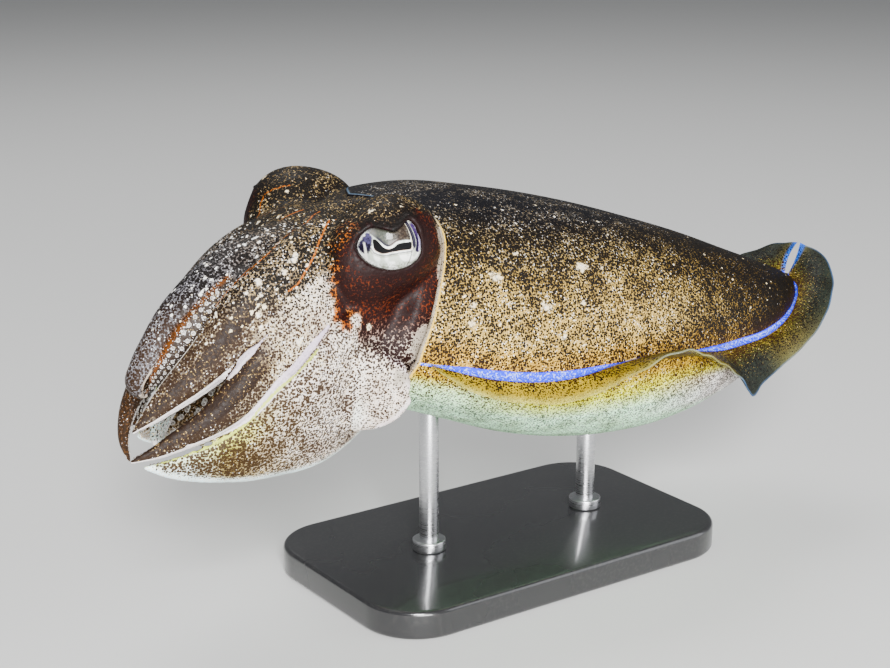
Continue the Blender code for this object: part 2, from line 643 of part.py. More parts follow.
def make_arms():
    made = []
    for side in ("left", "right"):
        for number in (1, 2, 3, 4):
            name = f"arm_{side}_{number}"
            arm = make_arm(name)
            tools = [head_shell("head_grown", "head_skin", GAP, helper=True)]
            combine(arm, tools, "DIFFERENCE")
            if number > 1:
                combine(arm, [make_arm(f"arm_{side}_{number - 1}", GAP, helper=True)], "DIFFERENCE")
            elif side == "right":
                combine(arm, [make_arm("arm_left_1", GAP, helper=True)], "DIFFERENCE")
            made.append(arm)
    for arm in made:
        name = arm.name
        combine(arm, [sucker(*place) for place in sucker_places(name)], "UNION")
        tip = arm.copy()
        tip.data = arm.data.copy()
        tip.name = name + "_tip"
        bpy.data.collections["pharaoh_cuttlefish"].objects.link(tip)
        arm.name = name + "_base"
        combine(tip, [half_space("near_side", name, True)], "DIFFERENCE")
        combine(arm, [half_space("far_side", name, False)], "DIFFERENCE")


def make_fin(name, table, side):
    """A thin sheet from the fin line to its waving margin, thick at its root."""
    at = np.linspace(0, 1, FIN_STEPS)
    keys = np.column_stack([np.linspace(0, 1, len(table)), table])
    body_x, margin = through(keys, at)[:, 0], through(keys, at)[:, 1:]
    body = through(MANTLE, body_x)
    root = np.column_stack([body_x, side * (body[:, 3] - FIN_SINK), body[:, 1]])
    rings = []
    for k in range(FIN_STEPS):
        reach = margin[k] - root[k]
        ahead = root[min(k + 1, FIN_STEPS - 1)] - root[max(k - 1, 0)]
        normal = np.cross(ahead, reach)
        normal /= np.linalg.norm(normal)
        fade = min(1.0, FIN_END_THIN + FIN_END_STEP * min(k, FIN_STEPS - 1 - k))
        upper, lower = [], []
        for share in np.linspace(0, 1, FIN_ACROSS):
            bow = math.sin(math.pi * share) * FIN_BOW * np.linalg.norm(reach)
            p = root[k] + reach * share + np.array([0, side * bow * FIN_BOW_OUT, bow * FIN_BOW_UP])
            half = (FIN_ROOT + (FIN_EDGE - FIN_ROOT) * share**FIN_TAPER) / 2 * fade
            upper.append(p + normal * half)
            lower.append(p - normal * half)
        rings.append(upper + lower[::-1])
    fin = loft(name, rings, "fin_skin", sheet=True)
    return combine(fin, [make_mantle("mantle_grown", GAP)], "DIFFERENCE")


def make_funnel():
    keys = np.column_stack([np.arange(len(FUNNEL)), FUNNEL])
    angle = np.linspace(0, 2 * math.pi, FUNNEL_SIDES, endpoint=False)

    def ring(x, z, radius):
        across, up = radius * np.sin(angle) * FUNNEL_WIDTH, radius * np.cos(angle)
        return np.column_stack([np.full(FUNNEL_SIDES, x), across, z + up])

    outer = [ring(*v) for v in through(keys, np.linspace(0, len(FUNNEL) - 1, 9))]
    x, z, _ = FUNNEL[-1]
    inner = [ring(x - FUNNEL_LIP, z, FUNNEL_BORE + FUNNEL_LIP), ring(x, z, FUNNEL_BORE)]
    inner.append(ring(x + FUNNEL_DEPTH, z, FUNNEL_BORE - FUNNEL_LIP))
    funnel = loft("funnel", [*outer, *inner], "head_skin")
    combine(funnel, [head_shell("head_grown", "head_skin", GAP, helper=True)], "DIFFERENCE")
    return combine(funnel, [make_mantle("mantle_grown", GAP)], "DIFFERENCE")


def make_mouth():
    mouth = sphere("mouth", MOUTH_CENTRE, MOUTH_SIZE, 14, 9, "mouth")
    bm = bmesh.new()
    middle = Vector(MOUTH_CENTRE) - Vector((MOUTH_SIZE[0] * LIP_FORWARD, 0, 0))
    for k in range(LIP_COUNT):
        turn = 2 * math.pi * k / LIP_COUNT
        place = middle + Vector((0, math.sin(turn), math.cos(turn))) * LIP_RADIUS
        spot = Matrix.Translation(place * MM)
        bmesh.ops.create_icosphere(bm, subdivisions=1, radius=LIP_THICK * MM, matrix=spot)
    mesh = bpy.data.meshes.new("lips")
    bm.to_mesh(mesh)
    bm.free()
    lips = new_object("lips", mesh, "mouth", helper=True)
    combine(mouth, [lips], "UNION")
    arms = [make_arm(f"arm_{side}_1", GAP, helper=True) for side in ("left", "right")]
    combine(mouth, arms, "DIFFERENCE")
    return combine(mouth, [head_shell("head_grown", "head_skin", GAP, helper=True)], "DIFFERENCE")


def make_stand():
    bm = bmesh.new()
    bmesh.ops.create_cube(bm, size=1.0)
    bmesh.ops.scale(bm, verts=bm.verts, vec=Vector(BASE_SIZE) * MM)
    centre = Vector((BASE_CENTRE_X, 0, FLOOR_Z + BASE_SIZE[2] / 2))
    bmesh.ops.translate(bm, verts=bm.verts, vec=centre * MM)
    upright = [e for e in bm.edges if abs(e.verts[0].co.z - e.verts[1].co.z) > MM]
    bmesh.ops.bevel(bm, geom=upright, offset=BASE_CORNER * MM, segments=7, profile=0.5, affect="EDGES")
    top = [e for e in bm.edges if all(v.co.z > (FLOOR_Z + BASE_SIZE[2] - 0.01) * MM for v in e.verts)]
    bmesh.ops.bevel(bm, geom=top, offset=BASE_BEVEL * MM, segments=2, profile=0.5, affect="EDGES")
    mesh = bpy.data.meshes.new("stand_base")
    bm.to_mesh(mesh)
    bm.free()
    base = new_object("stand_base", mesh, "base")
    tools = []
    foot = FLOOR_Z + BASE_SIZE[2] - ROD_SOCKET
    for place in ROD_X:
        tools.append(rod("socket", place, foot - GAP, ROD_TOP, ROD_RADIUS + GAP, helper=True))
    combine(base, tools, "DIFFERENCE")
    base.data.set_sharp_from_angle(angle=SHARP_ANGLE)
    for name, place in zip(("stand_rod_front", "stand_rod_rear"), ROD_X):
        made = rod(name, place, foot, ROD_TOP, ROD_RADIUS)
        combine(made, [make_mantle("mantle_grown", GAP)], "DIFFERENCE")
        made.data.set_sharp_from_angle(angle=SHARP_ANGLE)


def rod(name, x, low, high, radius, helper=False):
    bm = bmesh.new()
    place = Matrix.Translation(Vector((x, 0, (low + high) / 2)) * MM)
    size = {"radius1": radius * MM, "radius2": radius * MM, "depth": (high - low) * MM}
    bmesh.ops.create_cone(bm, cap_ends=True, segments=ROD_SIDES, matrix=place, **size)
    mesh = bpy.data.meshes.new(name)
    bm.to_mesh(mesh)
    bm.free()
    mesh.shade_smooth()
    return new_object(name, mesh, "rod", helper)


def main():
    clear_scene()
    for name in ("pharaoh_cuttlefish", "helpers"):
        group = bpy.data.collections.new(name)
        bpy.context.scene.collection.children.link(group)
    make_mantle()
    make_head()
    make_eye("eye_left", -1)
    make_eye("eye_right", 1)
    make_arms()
    make_fin("fin_left", FIN_LEFT, -1)
    make_fin("fin_right", FIN_RIGHT, 1)
    make_funnel()
    make_mouth()
    make_stand()
    place = bpy.data.objects.new("placed", None)
    place.location = (BODY_X * MM, 0, -FLOOR_Z * MM)
    bpy.context.scene.collection.objects.link(place)
    for obj in bpy.data.collections["pharaoh_cuttlefish"].objects:
        obj.parent = place


main()
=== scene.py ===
"""The looks of a life-size pharaoh cuttlefish model, hovering on its display stand."""
import json
import math

import bmesh
import bpy
import numpy as np
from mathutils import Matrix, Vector, noise

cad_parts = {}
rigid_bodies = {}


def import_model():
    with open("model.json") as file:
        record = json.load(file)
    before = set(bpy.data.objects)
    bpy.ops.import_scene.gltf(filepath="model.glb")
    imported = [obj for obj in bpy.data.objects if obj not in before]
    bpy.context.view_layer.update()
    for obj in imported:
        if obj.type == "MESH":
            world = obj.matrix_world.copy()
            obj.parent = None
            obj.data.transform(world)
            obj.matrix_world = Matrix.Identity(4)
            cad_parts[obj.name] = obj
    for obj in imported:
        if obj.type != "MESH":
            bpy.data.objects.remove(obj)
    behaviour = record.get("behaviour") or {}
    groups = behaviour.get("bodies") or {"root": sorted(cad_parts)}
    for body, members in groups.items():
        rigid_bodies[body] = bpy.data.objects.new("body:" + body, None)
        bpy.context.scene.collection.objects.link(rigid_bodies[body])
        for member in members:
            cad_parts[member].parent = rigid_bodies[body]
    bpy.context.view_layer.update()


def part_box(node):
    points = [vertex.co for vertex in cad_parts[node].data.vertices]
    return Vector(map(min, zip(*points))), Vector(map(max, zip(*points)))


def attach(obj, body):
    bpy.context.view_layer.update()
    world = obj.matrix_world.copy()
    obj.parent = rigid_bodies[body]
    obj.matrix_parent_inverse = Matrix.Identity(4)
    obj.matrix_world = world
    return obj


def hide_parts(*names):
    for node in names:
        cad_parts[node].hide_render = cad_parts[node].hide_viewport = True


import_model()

# The mantle is the animal's body: a muscular sack, flattened a little from above, with a
# free edge, the collar, round the neck. Its moist skin is olive-brown above and mint-white
# below, peppered with tiny pigment sacs, and it is modelled as one sheet wrapped into a sack.
# All of the animal is laid out in millimetres, and BODY_PLACE moves it over the stand.
MM = 0.001
WELD = 1e-6
BODY_PLACE = np.array([-22.0, 0.0, -10.0])
MANTLE = np.array([
    (-42, 132.0, 95.5, 74.0, 36.0), (-27, 134.5, 91.0, 71.5, 38.0), (-10, 134.5, 86.0, 65.0, 41.0),
    (10, 131.0, 82.5, 57.0, 42.5), (30, 126.5, 81.5, 51.5, 42.5), (50, 121.0, 80.5, 48.5, 41.0),
    (70, 114.5, 79.0, 48.0, 38.0), (90, 107.5, 77.0, 50.5, 32.5), (110, 99.5, 76.0, 56.5, 26.5),
    (125, 93.5, 77.5, 64.0, 20.0), (137, 88.5, 80.5, 73.5, 12.0), (144, 85.0, 83.0, 81.0, 4.5),
])
TAIL_TIP = (145.5, 0.0, 83.0)
COLLAR = np.array([
    (0, -33.0), (10, -29.0), (20, -22.5), (30, -18.8), (40, -18.8), (50, -21.3), (60, -24.6),
    (75, -29.3), (90, -34.3), (105, -37.3), (120, -37.0), (140, -33.0), (160, -29.0), (180, -27.0),
])
COLLAR_X, COLLAR_FADE_X, RECESS_X = -27.0, 25.0, -10.0
RIM = 1.5


def through(keys, at):
    """Smooth values at given places, from rows of (place, value, value, ...)."""
    keys = np.asarray(keys, float)
    x, y = keys[:, 0], keys[:, 1:]
    step = np.diff(x)[:, None]
    slope = np.diff(y, axis=0) / step
    inner = (slope[:-1] * step[1:] + slope[1:] * step[:-1]) / (step[:-1] + step[1:])
    grade = np.vstack([slope[:1], inner, slope[-1:]])
    at = np.clip(np.atleast_1d(np.asarray(at, float)), x[0], x[-1])
    i = np.clip(np.searchsorted(x, at, side="right") - 1, 0, len(x) - 2)
    h = step[i]
    t = ((at - x[i])[:, None]) / h
    return (
        (2 * t**3 - 3 * t**2 + 1) * y[i] + (t**3 - 2 * t**2 + t) * h * grade[i]
        + (3 * t**2 - 2 * t**3) * y[i + 1] + (t**3 - t**2) * h * grade[i + 1]
    )


def rounded(value, power):
    return np.sign(value) * np.abs(value) ** power


def step_between(low, high, value):
    t = np.clip((np.asarray(value, float) - low) / (high - low), 0, 1)
    return t * t * (3 - 2 * t)


def tones(value, *stops):
    """Colours that pass smoothly from stop to stop, each a (value, colour)."""
    places = [place for place, _ in stops]
    return np.stack([np.interp(value, places, [c[k] for _, c in stops]) for k in range(3)], axis=-1)


def mixed(share, one, other):
    share = np.asarray(share, float)[..., None]
    return np.asarray(one) * (1 - share) + np.asarray(other) * share


def coated(base, *coats):
    """A colour with coats laid over it in turn, each a (share, colour)."""
    for share, colour in coats:
        base = mixed(share, base, colour)
    return base


def finish_piece(piece, slot, *nodes):
    """Smooth shading and the model's solids that the piece stands for; the slot is not used."""
    piece.data.shade_smooth()
    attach(piece, "root")
    if nodes:
        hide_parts(*nodes)


def pick(piece):
    bpy.ops.object.select_all(action="DESELECT")
    piece.select_set(True)
    bpy.context.view_layer.objects.active = piece


def vertex_values(piece, name="co"):
    flat = np.empty(len(piece.data.vertices) * 3)
    piece.data.vertices.foreach_get(name, flat)
    return flat.reshape(-1, 3)


def move_points(piece, points):
    piece.data.vertices.foreach_set("co", ((points + BODY_PLACE) * MM).ravel())
    piece.data.update()


def paint(piece, **layers):
    """Stores a number or a colour for every vertex, for the finish to read."""
    for name, values in layers.items():
        values = np.asarray(values, float)
        kind = "FLOAT_COLOR" if values.ndim == 2 else "FLOAT"
        layer = piece.data.attributes.new(name, kind, "POINT")
        if kind == "FLOAT_COLOR":
            values = np.column_stack([values, np.ones(len(values))])
            layer.data.foreach_set("color", values.ravel())
        else:
            layer.data.foreach_set("value", values)


def face_outwards(piece, weld=None):
    """Turns all faces outwards, once the points closer than a distance are welded."""
    pick(piece)
    bpy.ops.object.mode_set(mode="EDIT")
    bpy.ops.mesh.select_all(action="SELECT")
    if weld:
        bpy.ops.mesh.remove_doubles(threshold=weld)
    bpy.ops.mesh.normals_make_consistent(inside=False)
    bpy.ops.object.mode_set(mode="OBJECT")


def wrapped_sheet(name, rings, **layers):
    """A grid of skin wrapped over rings of points, welded along its seam and at its ends."""
    rows, sides = len(rings), len(rings[0])
    bpy.ops.mesh.primitive_grid_add(x_subdivisions=rows - 1, y_subdivisions=sides, size=2)
    piece = bpy.context.object
    piece.name = name
    grid = vertex_values(piece)
    row = np.rint((grid[:, 0] + 1) / 2 * (rows - 1)).astype(int)
    side = np.rint((grid[:, 1] + 1) / 2 * sides).astype(int) % sides
    move_points(piece, np.asarray(rings)[row, side])
    paint(piece, **{key: np.asarray(value)[row, side] for key, value in layers.items()})
    face_outwards(piece, WELD)
    return piece


def mantle_ring(x, sides):
    """The mantle's outline at a station, from the middle of the back round by the left side."""
    angle = np.linspace(0, 2 * math.pi, sides, endpoint=False)
    turn = np.degrees(np.minimum(angle, 2 * math.pi - angle))
    fade = np.clip((COLLAR_FADE_X - x) / (COLLAR_FADE_X - COLLAR_X), 0, 1) ** 1.5
    ring = np.empty((sides, 3))
    ring[:, 0] = x + fade * (through(COLLAR, turn)[:, 0] - COLLAR_X)
    back, fin, belly, half = through(MANTLE, ring[:, 0]).T
    up, out = np.cos(angle), np.sin(angle)
    ring[:, 1] = -half * rounded(out, 0.92)
    ring[:, 2] = fin + np.where(up > 0, back - fin, fin - belly) * rounded(up, 0.92)
    return ring


def drawn_in(ring, by, x=None):
    """A ring moved towards its middle by a distance, and to a plane if x is given."""
    middle = ring.mean(axis=0)
    ray = ring - middle
    ray[:, 0] = 0
    inner = ring - ray / np.linalg.norm(ray, axis=1, keepdims=True) * by
    if x is not None:
        inner[:, 0] = x
    return inner


def above_fin_line(ring):
    """How far each point of a ring lies from the fin line, along the skin, up being positive."""
    sides = len(ring)
    step = np.linalg.norm(np.roll(ring, -1, axis=0) - ring, axis=1)
    run = np.concatenate([[0], np.cumsum(step)])[:sides]
    quarter, half = sides // 4, sides // 2
    left = run[quarter] - run
    right = run - run[3 * quarter]
    return np.where(np.arange(sides) <= half, left, right)


MANTLE_SIDES = 320
stations = np.concatenate([
    TAIL_TIP[0] - np.array([0.15, 0.5, 1.0, 1.6, 2.3, 3.1, 4.0, 5.0, 6.2, 7.5]),
    np.linspace(137, -14, 205), np.linspace(-14.6, COLLAR_X, 22),
])
rings = [mantle_ring(x, MANTLE_SIDES) for x in stations]
collar = rings[-1]
for share in np.linspace(0.2, 1, 5):
    lip = drawn_in(collar, RIM / 2 * (1 - math.cos(math.pi * share)))
    lip[:, 0] -= RIM / 2 * math.sin(math.pi * share)
    rings.append(lip)
for share in np.linspace(0.15, 1, 8):
    wall = drawn_in(collar, RIM + share)
    wall[:, 0] += share * (RECESS_X - wall[:, 0])
    rings.append(wall)
tail = np.full((MANTLE_SIDES, 3), TAIL_TIP)
end = np.full((MANTLE_SIDES, 3), (RECESS_X, 0.0, 100.0))
rings = np.array([tail, *rings, end])
gap = np.array([above_fin_line(ring) for ring in rings])
gap[0] = gap[1]
outer = len(stations) + 1
gap[outer:] = gap[outer - 1]

# Its colours, from the belly's mint-white up to the dark back. Cover is how much of the skin
# the pigment sacs hide, gleam how many pale flecks lie between them, frost how white these are.
# A marking is painted as the distance from it, and FAR is well away from any.
FAR = 9.0
MINT, SHELL, LIME = (0.74, 1.0, 0.78), (0.98, 0.92, 0.93), (0.78, 0.80, 0.24)
AMBER, RUST, KHAKI = (0.58, 0.43, 0.16), (0.56, 0.41, 0.21), (0.62, 0.50, 0.29)
TAUPE, SLATE, UMBER = (0.44, 0.35, 0.20), (0.20, 0.175, 0.14), (0.125, 0.085, 0.04)
SOOT, SEPIA, NAVY = (0.008, 0.005, 0.003), (0.05, 0.022, 0.008), (0.004, 0.004, 0.008)
BELLY_INK, COLLAR_GREY = (0.02, 0.02, 0.01), (0.44, 0.40, 0.34)
LIP_SIDE, LIP_BACK = (0.80, 0.62, 0.30), (0.17, 0.22, 0.28)
x = rings[..., 0]
back_share = step_between(38, 56, gap)
rear = step_between(35, 115, x)
skin = tones(
    gap, (-48, MINT), (-16, MINT), (-9, LIME), (-3, AMBER), (0, AMBER), (1.5, RUST), (5, RUST),
    (10, KHAKI), (28, TAUPE), (48, SLATE), (80, SLATE),
)
blush = step_between(40, 85, x) * step_between(-6, -10, gap) * step_between(-27, -18, gap)
skin = coated(
    skin, (blush * 0.9, SHELL), (rear * step_between(-1, 3, gap) * 0.92, UMBER),
    (step_between(8, -22, x) * step_between(-3, -9, gap) * 0.8, MINT),
)
ink = mixed(back_share, mixed(step_between(-4, 8, gap), SEPIA, SOOT), NAVY)
ink = mixed(step_between(-8, -14, gap), ink, BELLY_INK)
cover = np.interp(
    gap, [-45, -20, -10, -3, 0, 4, 12, 24, 36, 48, 80],
    [0.33, 0.35, 0.38, 0.44, 0.50, 0.54, 0.48, 0.56, 0.72, 0.78, 0.80],
)
cover = cover + blush * 0.10
cover = cover + rear * step_between(-14, 4, gap) * (0.28 - 0.12 * back_share)
cover = cover + step_between(100, 135, x) * step_between(-2, 4, gap) * 0.20
gleam = np.interp(gap, [-30, -5, 5, 20, 40, 60], [0.35, 0.3, 0.5, 0.5, 0.4, 0.3]) * (1 - 0.5 * rear)
frost = np.interp(gap, [-10, 0, 8, 30, 50], [0.9, 0.1, 0.25, 0.35, 0.8])
streak = back_share * 0.9 + 0.12
ROOT_UP, ROOT_OUT = 0.4, 0.45


def blue_reach(along):
    """How far the blue line reaches above the fin's root, at places along the body."""
    return np.interp(
        along, [-35, -30, -20, -8, 10, 25, 41, 60, 80, 95, 110, 125, 138, 145],
        [0, 0.2, 0.8, 1.25, 1.4, 1.3, 0.9, 0.55, 0.5, 0.8, 1.05, 1.0, 0.8, 0.4],
    )


def blue_line(above_root, reach_up):
    """How far a point is from the middle of the blue line, where 1 is the line's edge."""
    half = (reach_up + ROOT_OUT * np.minimum(reach_up, 1)) / 2
    return np.abs(above_root - (reach_up - half)) / np.maximum(half, 0.05)


inside = (np.arange(len(rings)) >= outer)[:, None] & np.ones_like(gap, bool)
blue = blue_line(np.maximum(gap - ROOT_UP, 0), blue_reach(x))
blue = np.where((gap > -0.7) & ~inside, blue, FAR)
skin[inside] = COLLAR_GREY
cover[inside] = 0.12
gleam[inside] = 0.0
over_back = inside * step_between(40, 48, gap)
skin = mixed(over_back, skin, SLATE)
cover = cover + over_back * 0.7
rim_line = np.abs(np.arange(len(rings)) - outer + 1)[:, None] * 0.45 + np.zeros_like(gap)
spots_seed = np.random.default_rng(7)


def spot_distance(points, centres, sizes, stretch=1.5):
    """Distance to the nearest pale spot, where 1 is its edge. Spots are long along the body."""
    best = np.full(len(points), FAR)
    for centre, size in zip(centres, sizes):
        away = (points - centre) / size
        away[:, 0] /= stretch
        best = np.minimum(best, np.linalg.norm(away, axis=1))
    return best


# The large star-shaped papillae of the flank, then small ones scattered over the rest.
FLANK_SPOTS = [
    (-7.1, 35.3, 112.7, 1.2), (-8.6, 35.0, 114.0, 0.7), (24.1, 34.0, 111.2, 1.3), (26.2, 34.0, 110.6, 0.8),
    (7.5, 39.5, 102.7, 1.1), (6.6, 39.0, 104.2, 0.7), (20.8, 39.3, 102.1, 0.7), (-16.3, 37.2, 106.7, 0.8),
    (-17.7, 38.2, 101.8, 0.9), (12.5, 41.6, 93.8, 0.8), (31.7, 34.0, 109.8, 0.6), (-21, 34, 112, 0.6),
    (2, 32, 118, 0.7), (45, 36, 98, 0.7), (62, 33, 97, 0.7), (38, 40, 91, 0.6), (33, 36, 106, 0.6),
]
SMALL_SPOTS = 70


def all_spots(points, pickable, count, smallest, largest, placed):
    """Middles and sizes of small spots strewn over some of the points, and of placed ones."""
    chosen = spots_seed.choice(np.flatnonzero(pickable), count, replace=False)
    centres = [points[i] for i in chosen]
    sizes = list(spots_seed.uniform(smallest, largest, len(chosen)))
    for spot_x, spot_y, spot_z, size in placed:
        for side in (-1, 1):
            centres.append(np.array((spot_x, side * spot_y, spot_z)))
            sizes.append(size)
    return centres, sizes


sheet = rings.reshape(-1, 3)
flank = (gap.ravel() > 8) & (gap.ravel() < 60) & ~inside.ravel()
spots = spot_distance(sheet, *all_spots(sheet, flank, SMALL_SPOTS, 0.25, 0.5, FLANK_SPOTS))
mantle = wrapped_sheet(
    "mantle_hide", rings, skin=skin, ink=ink, cover=cover, gleam=gleam, frost=frost, streak=streak,
    blue=blue, spots=spots.reshape(gap.shape), thread=rim_line,
    dye=mixed(step_between(38, 48, gap), LIP_SIDE, LIP_BACK),
)


class Shade:
    """One value in a finish. Sums and products of it add Math nodes to the finish."""

    def __init__(self, tree, socket=None):
        self.tree, self.socket = tree, socket

    def node(self, kind, settings=None, inputs=None, output=0):
        """Adds a node: its settings first, then the values or links of its sockets."""
        made = self.tree.nodes.new(kind)
        for key, value in (settings or {}).items():
            setattr(made, key, value)
        for key, value in (inputs or {}).items():
            if isinstance(value, Shade):
                self.tree.links.new(value.socket, made.inputs[key])
            else:
                made.inputs[key].default_value = value
        return Shade(self.tree, made.outputs[output])

    def maths(self, operation, *values):
        return self.node("ShaderNodeMath", {"operation": operation}, dict(enumerate(values)))

    def __add__(self, other):
        return self.maths("ADD", self, other)

    __radd__ = __add__

    def __sub__(self, other):
        return self.maths("SUBTRACT", self, other)

    def __rsub__(self, other):
        return self.maths("SUBTRACT", other, self)

    def __mul__(self, other):
        return self.maths("MULTIPLY", self, other)

    __rmul__ = __mul__

    def fade(self, start, stop, low=0.0, high=1.0):
        """Passes smoothly from low to high as the value goes from start to stop."""
        inputs = {"Value": self, "From Min": start, "From Max": stop, "To Min": low, "To Max": high}
        return self.node("ShaderNodeMapRange", {"interpolation_type": "SMOOTHSTEP"}, inputs)

    def over(self, share, colour, way="MIX"):
        """This colour with another laid over it, or multiplied into it, by a share."""
        colour = colour if isinstance(colour, Shade) else (*colour, 1.0)
        settings = {"data_type": "RGBA", "blend_type": way}
        return self.node("ShaderNodeMix", settings, {0: share, 6: self, 7: colour}, 2)

    def between(self, one, other):
        """A colour that passes from one to the other as the value goes from 0 to 1."""
        inputs = {0: self, 6: (*one, 1.0), 7: (*other, 1.0)}
        return self.node("ShaderNodeMix", {"data_type": "RGBA"}, inputs, 2)

    def stored(self, name, output="Fac"):
        return self.node("ShaderNodeAttribute", {"attribute_name": name}, output=output)

    def place(self, stretch=(1.0, 1.0, 1.0)):
        """The point on the piece, in metres, optionally stretched."""
        spot = self.node("ShaderNodeTexCoord", output="Object")
        return self.node("ShaderNodeMapping", inputs={"Vector": spot, "Scale": stretch})

    def cells(self, scale, stretch=(1.0, 1.0, 1.0)):
        """Distance to the nearest cell's middle, and a random colour for each cell."""
        inputs = {"Vector": self.place(stretch), "Scale": scale, "Randomness": 0.8}
        near = self.node("ShaderNodeTexVoronoi", inputs=inputs)
        random = Shade(self.tree, near.socket.node.outputs["Color"])
        return near, self.node("ShaderNodeSeparateColor", inputs={0: random})

    def grain(self, scale, detail=2.0, stretch=(1.0, 1.0, 1.0)):
        inputs = {"Vector": self.place(stretch), "Scale": scale, "Detail": detail}
        return self.node("ShaderNodeTexNoise", inputs=inputs)

    def bump(self, height, strength, distance, normal=None):
        inputs = {"Height": height, "Strength": strength, "Distance": distance}
        if normal:
            inputs["Normal"] = normal
        return self.node("ShaderNodeBump", inputs=inputs)


def new_finish(name):
    """An empty finish: its first value to build on, and its surface shader."""
    made = bpy.data.materials.new(name)
    made.use_nodes = True
    return made, Shade(made.node_tree), made.node_tree.nodes["Principled BSDF"]


def set_surface(shade, surface, links=None, **values):
    """Joins colours and values to a surface's sockets, or sets their numbers."""
    for name, value in (links or {}).items():
        shade.tree.links.new(value.socket, surface.inputs[name])
    for name, value in values.items():
        surface.inputs[name.replace("_", " ").title().replace("Ior", "IOR")].default_value = value


SHADED, SPOT_WHITE, VEIN = (0.55, 0.49, 0.44), (0.97, 0.95, 0.88), (0.40, 0.33, 0.42)
GOLD_FLECK, WHITE_FLECK = (0.92, 0.70, 0.34), (0.98, 0.98, 1.0)
AZURE_EDGE, AZURE_CORE = (0.60, 0.68, 1.0), (0.025, 0.05, 0.92)
SAC_CELLS, DOT_CELLS, FLECK_CELLS = 1500, 2500, 1760


def hide_finish(name, clear=None, keels=False, rich=1.28):
    """Moist skin over pigment sacs: dark dots that swell and merge where the cover is high,
    gold and white flecks between them, streaks on the back, pale spots and thin lines."""
    made, shade, surface = new_finish(name)
    skin, ink = shade.stored("skin", "Color"), shade.stored("ink", "Color")
    mottle, fine = shade.grain(150, 3.0), shade.grain(1100, 2.0)
    streaks = shade.grain(330, 3.0, (0.14, 1.0, 1.0))
    cover = shade.stored("cover") * mottle.fade(0.25, 0.75, 0.82, 1.16)
    cover = cover + (streaks - 0.5) * shade.stored("streak") * 0.9
    gleam = shade.stored("gleam") * mottle.fade(0.3, 0.7, 1.25, 0.75)
    colour = skin.over(mottle.fade(0.35, 0.7, 0.0, 0.5), skin.over(1.0, SHADED, "MULTIPLY"))
    near, random = shade.cells(SAC_CELLS)
    small, small_random = shade.cells(DOT_CELLS)
    light, light_random = shade.cells(FLECK_CELLS)
    paleness = (light_random + shade.stored("frost") - 0.5).fade(0.3, 0.7)
    gold = paleness.between(GOLD_FLECK, WHITE_FLECK)
    fleck = (gleam * 0.5 + 0.12 - light).fade(-0.05, 0.06) * gleam.fade(0.0, 0.15)
    colour = colour.over(fleck * light_random.fade(0.1, 0.9, 0.45, 0.95), gold)
    some = cover.fade(0.02, 0.14)
    dot = (cover * 0.52 + 0.13 - small).fade(-0.05, 0.07) * some
    sac = (cover * 0.60 + 0.15 + random * 0.12 - near).fade(-0.04, 0.05) * some
    colour = colour.over(dot * 0.55, ink).over(sac * 0.97, ink)
    wobble = (fine - 0.5) * 1.3
    white = (shade.stored("spots") + wobble * 0.6 + (light_random - 0.5) * 0.9).fade(1.15, 0.6)
    colour = colour.over(white * 0.92, gold.over(0.55, SPOT_WHITE))
    height = sac * -0.25 + fleck * 0.35 + white * 1.3 + fine * 0.4
    if keels:
        striped = shade.grain(1500, 1.0)
        keel = (shade.stored("keel") + (striped - 0.5) * 0.35).fade(1.05, 0.8)
        vein = (shade.stored("keel") + (striped - 0.5) * 0.5).fade(0.34, 0.12)
        colour = colour.over(keel * 0.88, shade.stored("rail", "Color"))
        colour = colour.over(vein * keel * 0.45, VEIN)
        height = height + keel * 1.2
    else:
        band = (shade.stored("blue") + wobble * 0.34).fade(1.05, 0.85)
        core = (shade.stored("blue") + (small_random - 0.5) * 1.2).fade(-0.1, 0.65)
        colour = colour.over(band * 0.96, core.between(AZURE_EDGE, AZURE_CORE))
    thread = (shade.stored("thread") + wobble * 0.16).fade(0.34, 0.10) * mottle.fade(0.28, 0.5, 0.7, 1.0)
    colour = colour.over(thread * 0.9, shade.stored("dye", "Color"))
    colour = shade.node("ShaderNodeGamma", inputs={"Color": colour, "Gamma": 1.3})
    colour = shade.node("ShaderNodeHueSaturation", inputs={"Color": colour, "Saturation": rich})
    normal = shade.bump(height, 0.6, 0.0003)
    crease = shade.grain(240, 3.0, (0.4, 1.0, 1.0))
    normal = shade.bump(crease, 0.4, 0.0009, normal)
    links = {"Base Color": colour, "Normal": normal, "Roughness": fine.fade(0.3, 0.7, 0.46, 0.66)}
    if clear:
        links["Alpha"] = shade.stored(clear)
    set_surface(shade, surface, links, coat_weight=0.02, coat_roughness=0.3, specular_ior_level=0.14)
    return made


mantle.data.materials.append(hide_finish("mantle_hide"))
finish_piece(mantle, "mantle_skin", "mantle")

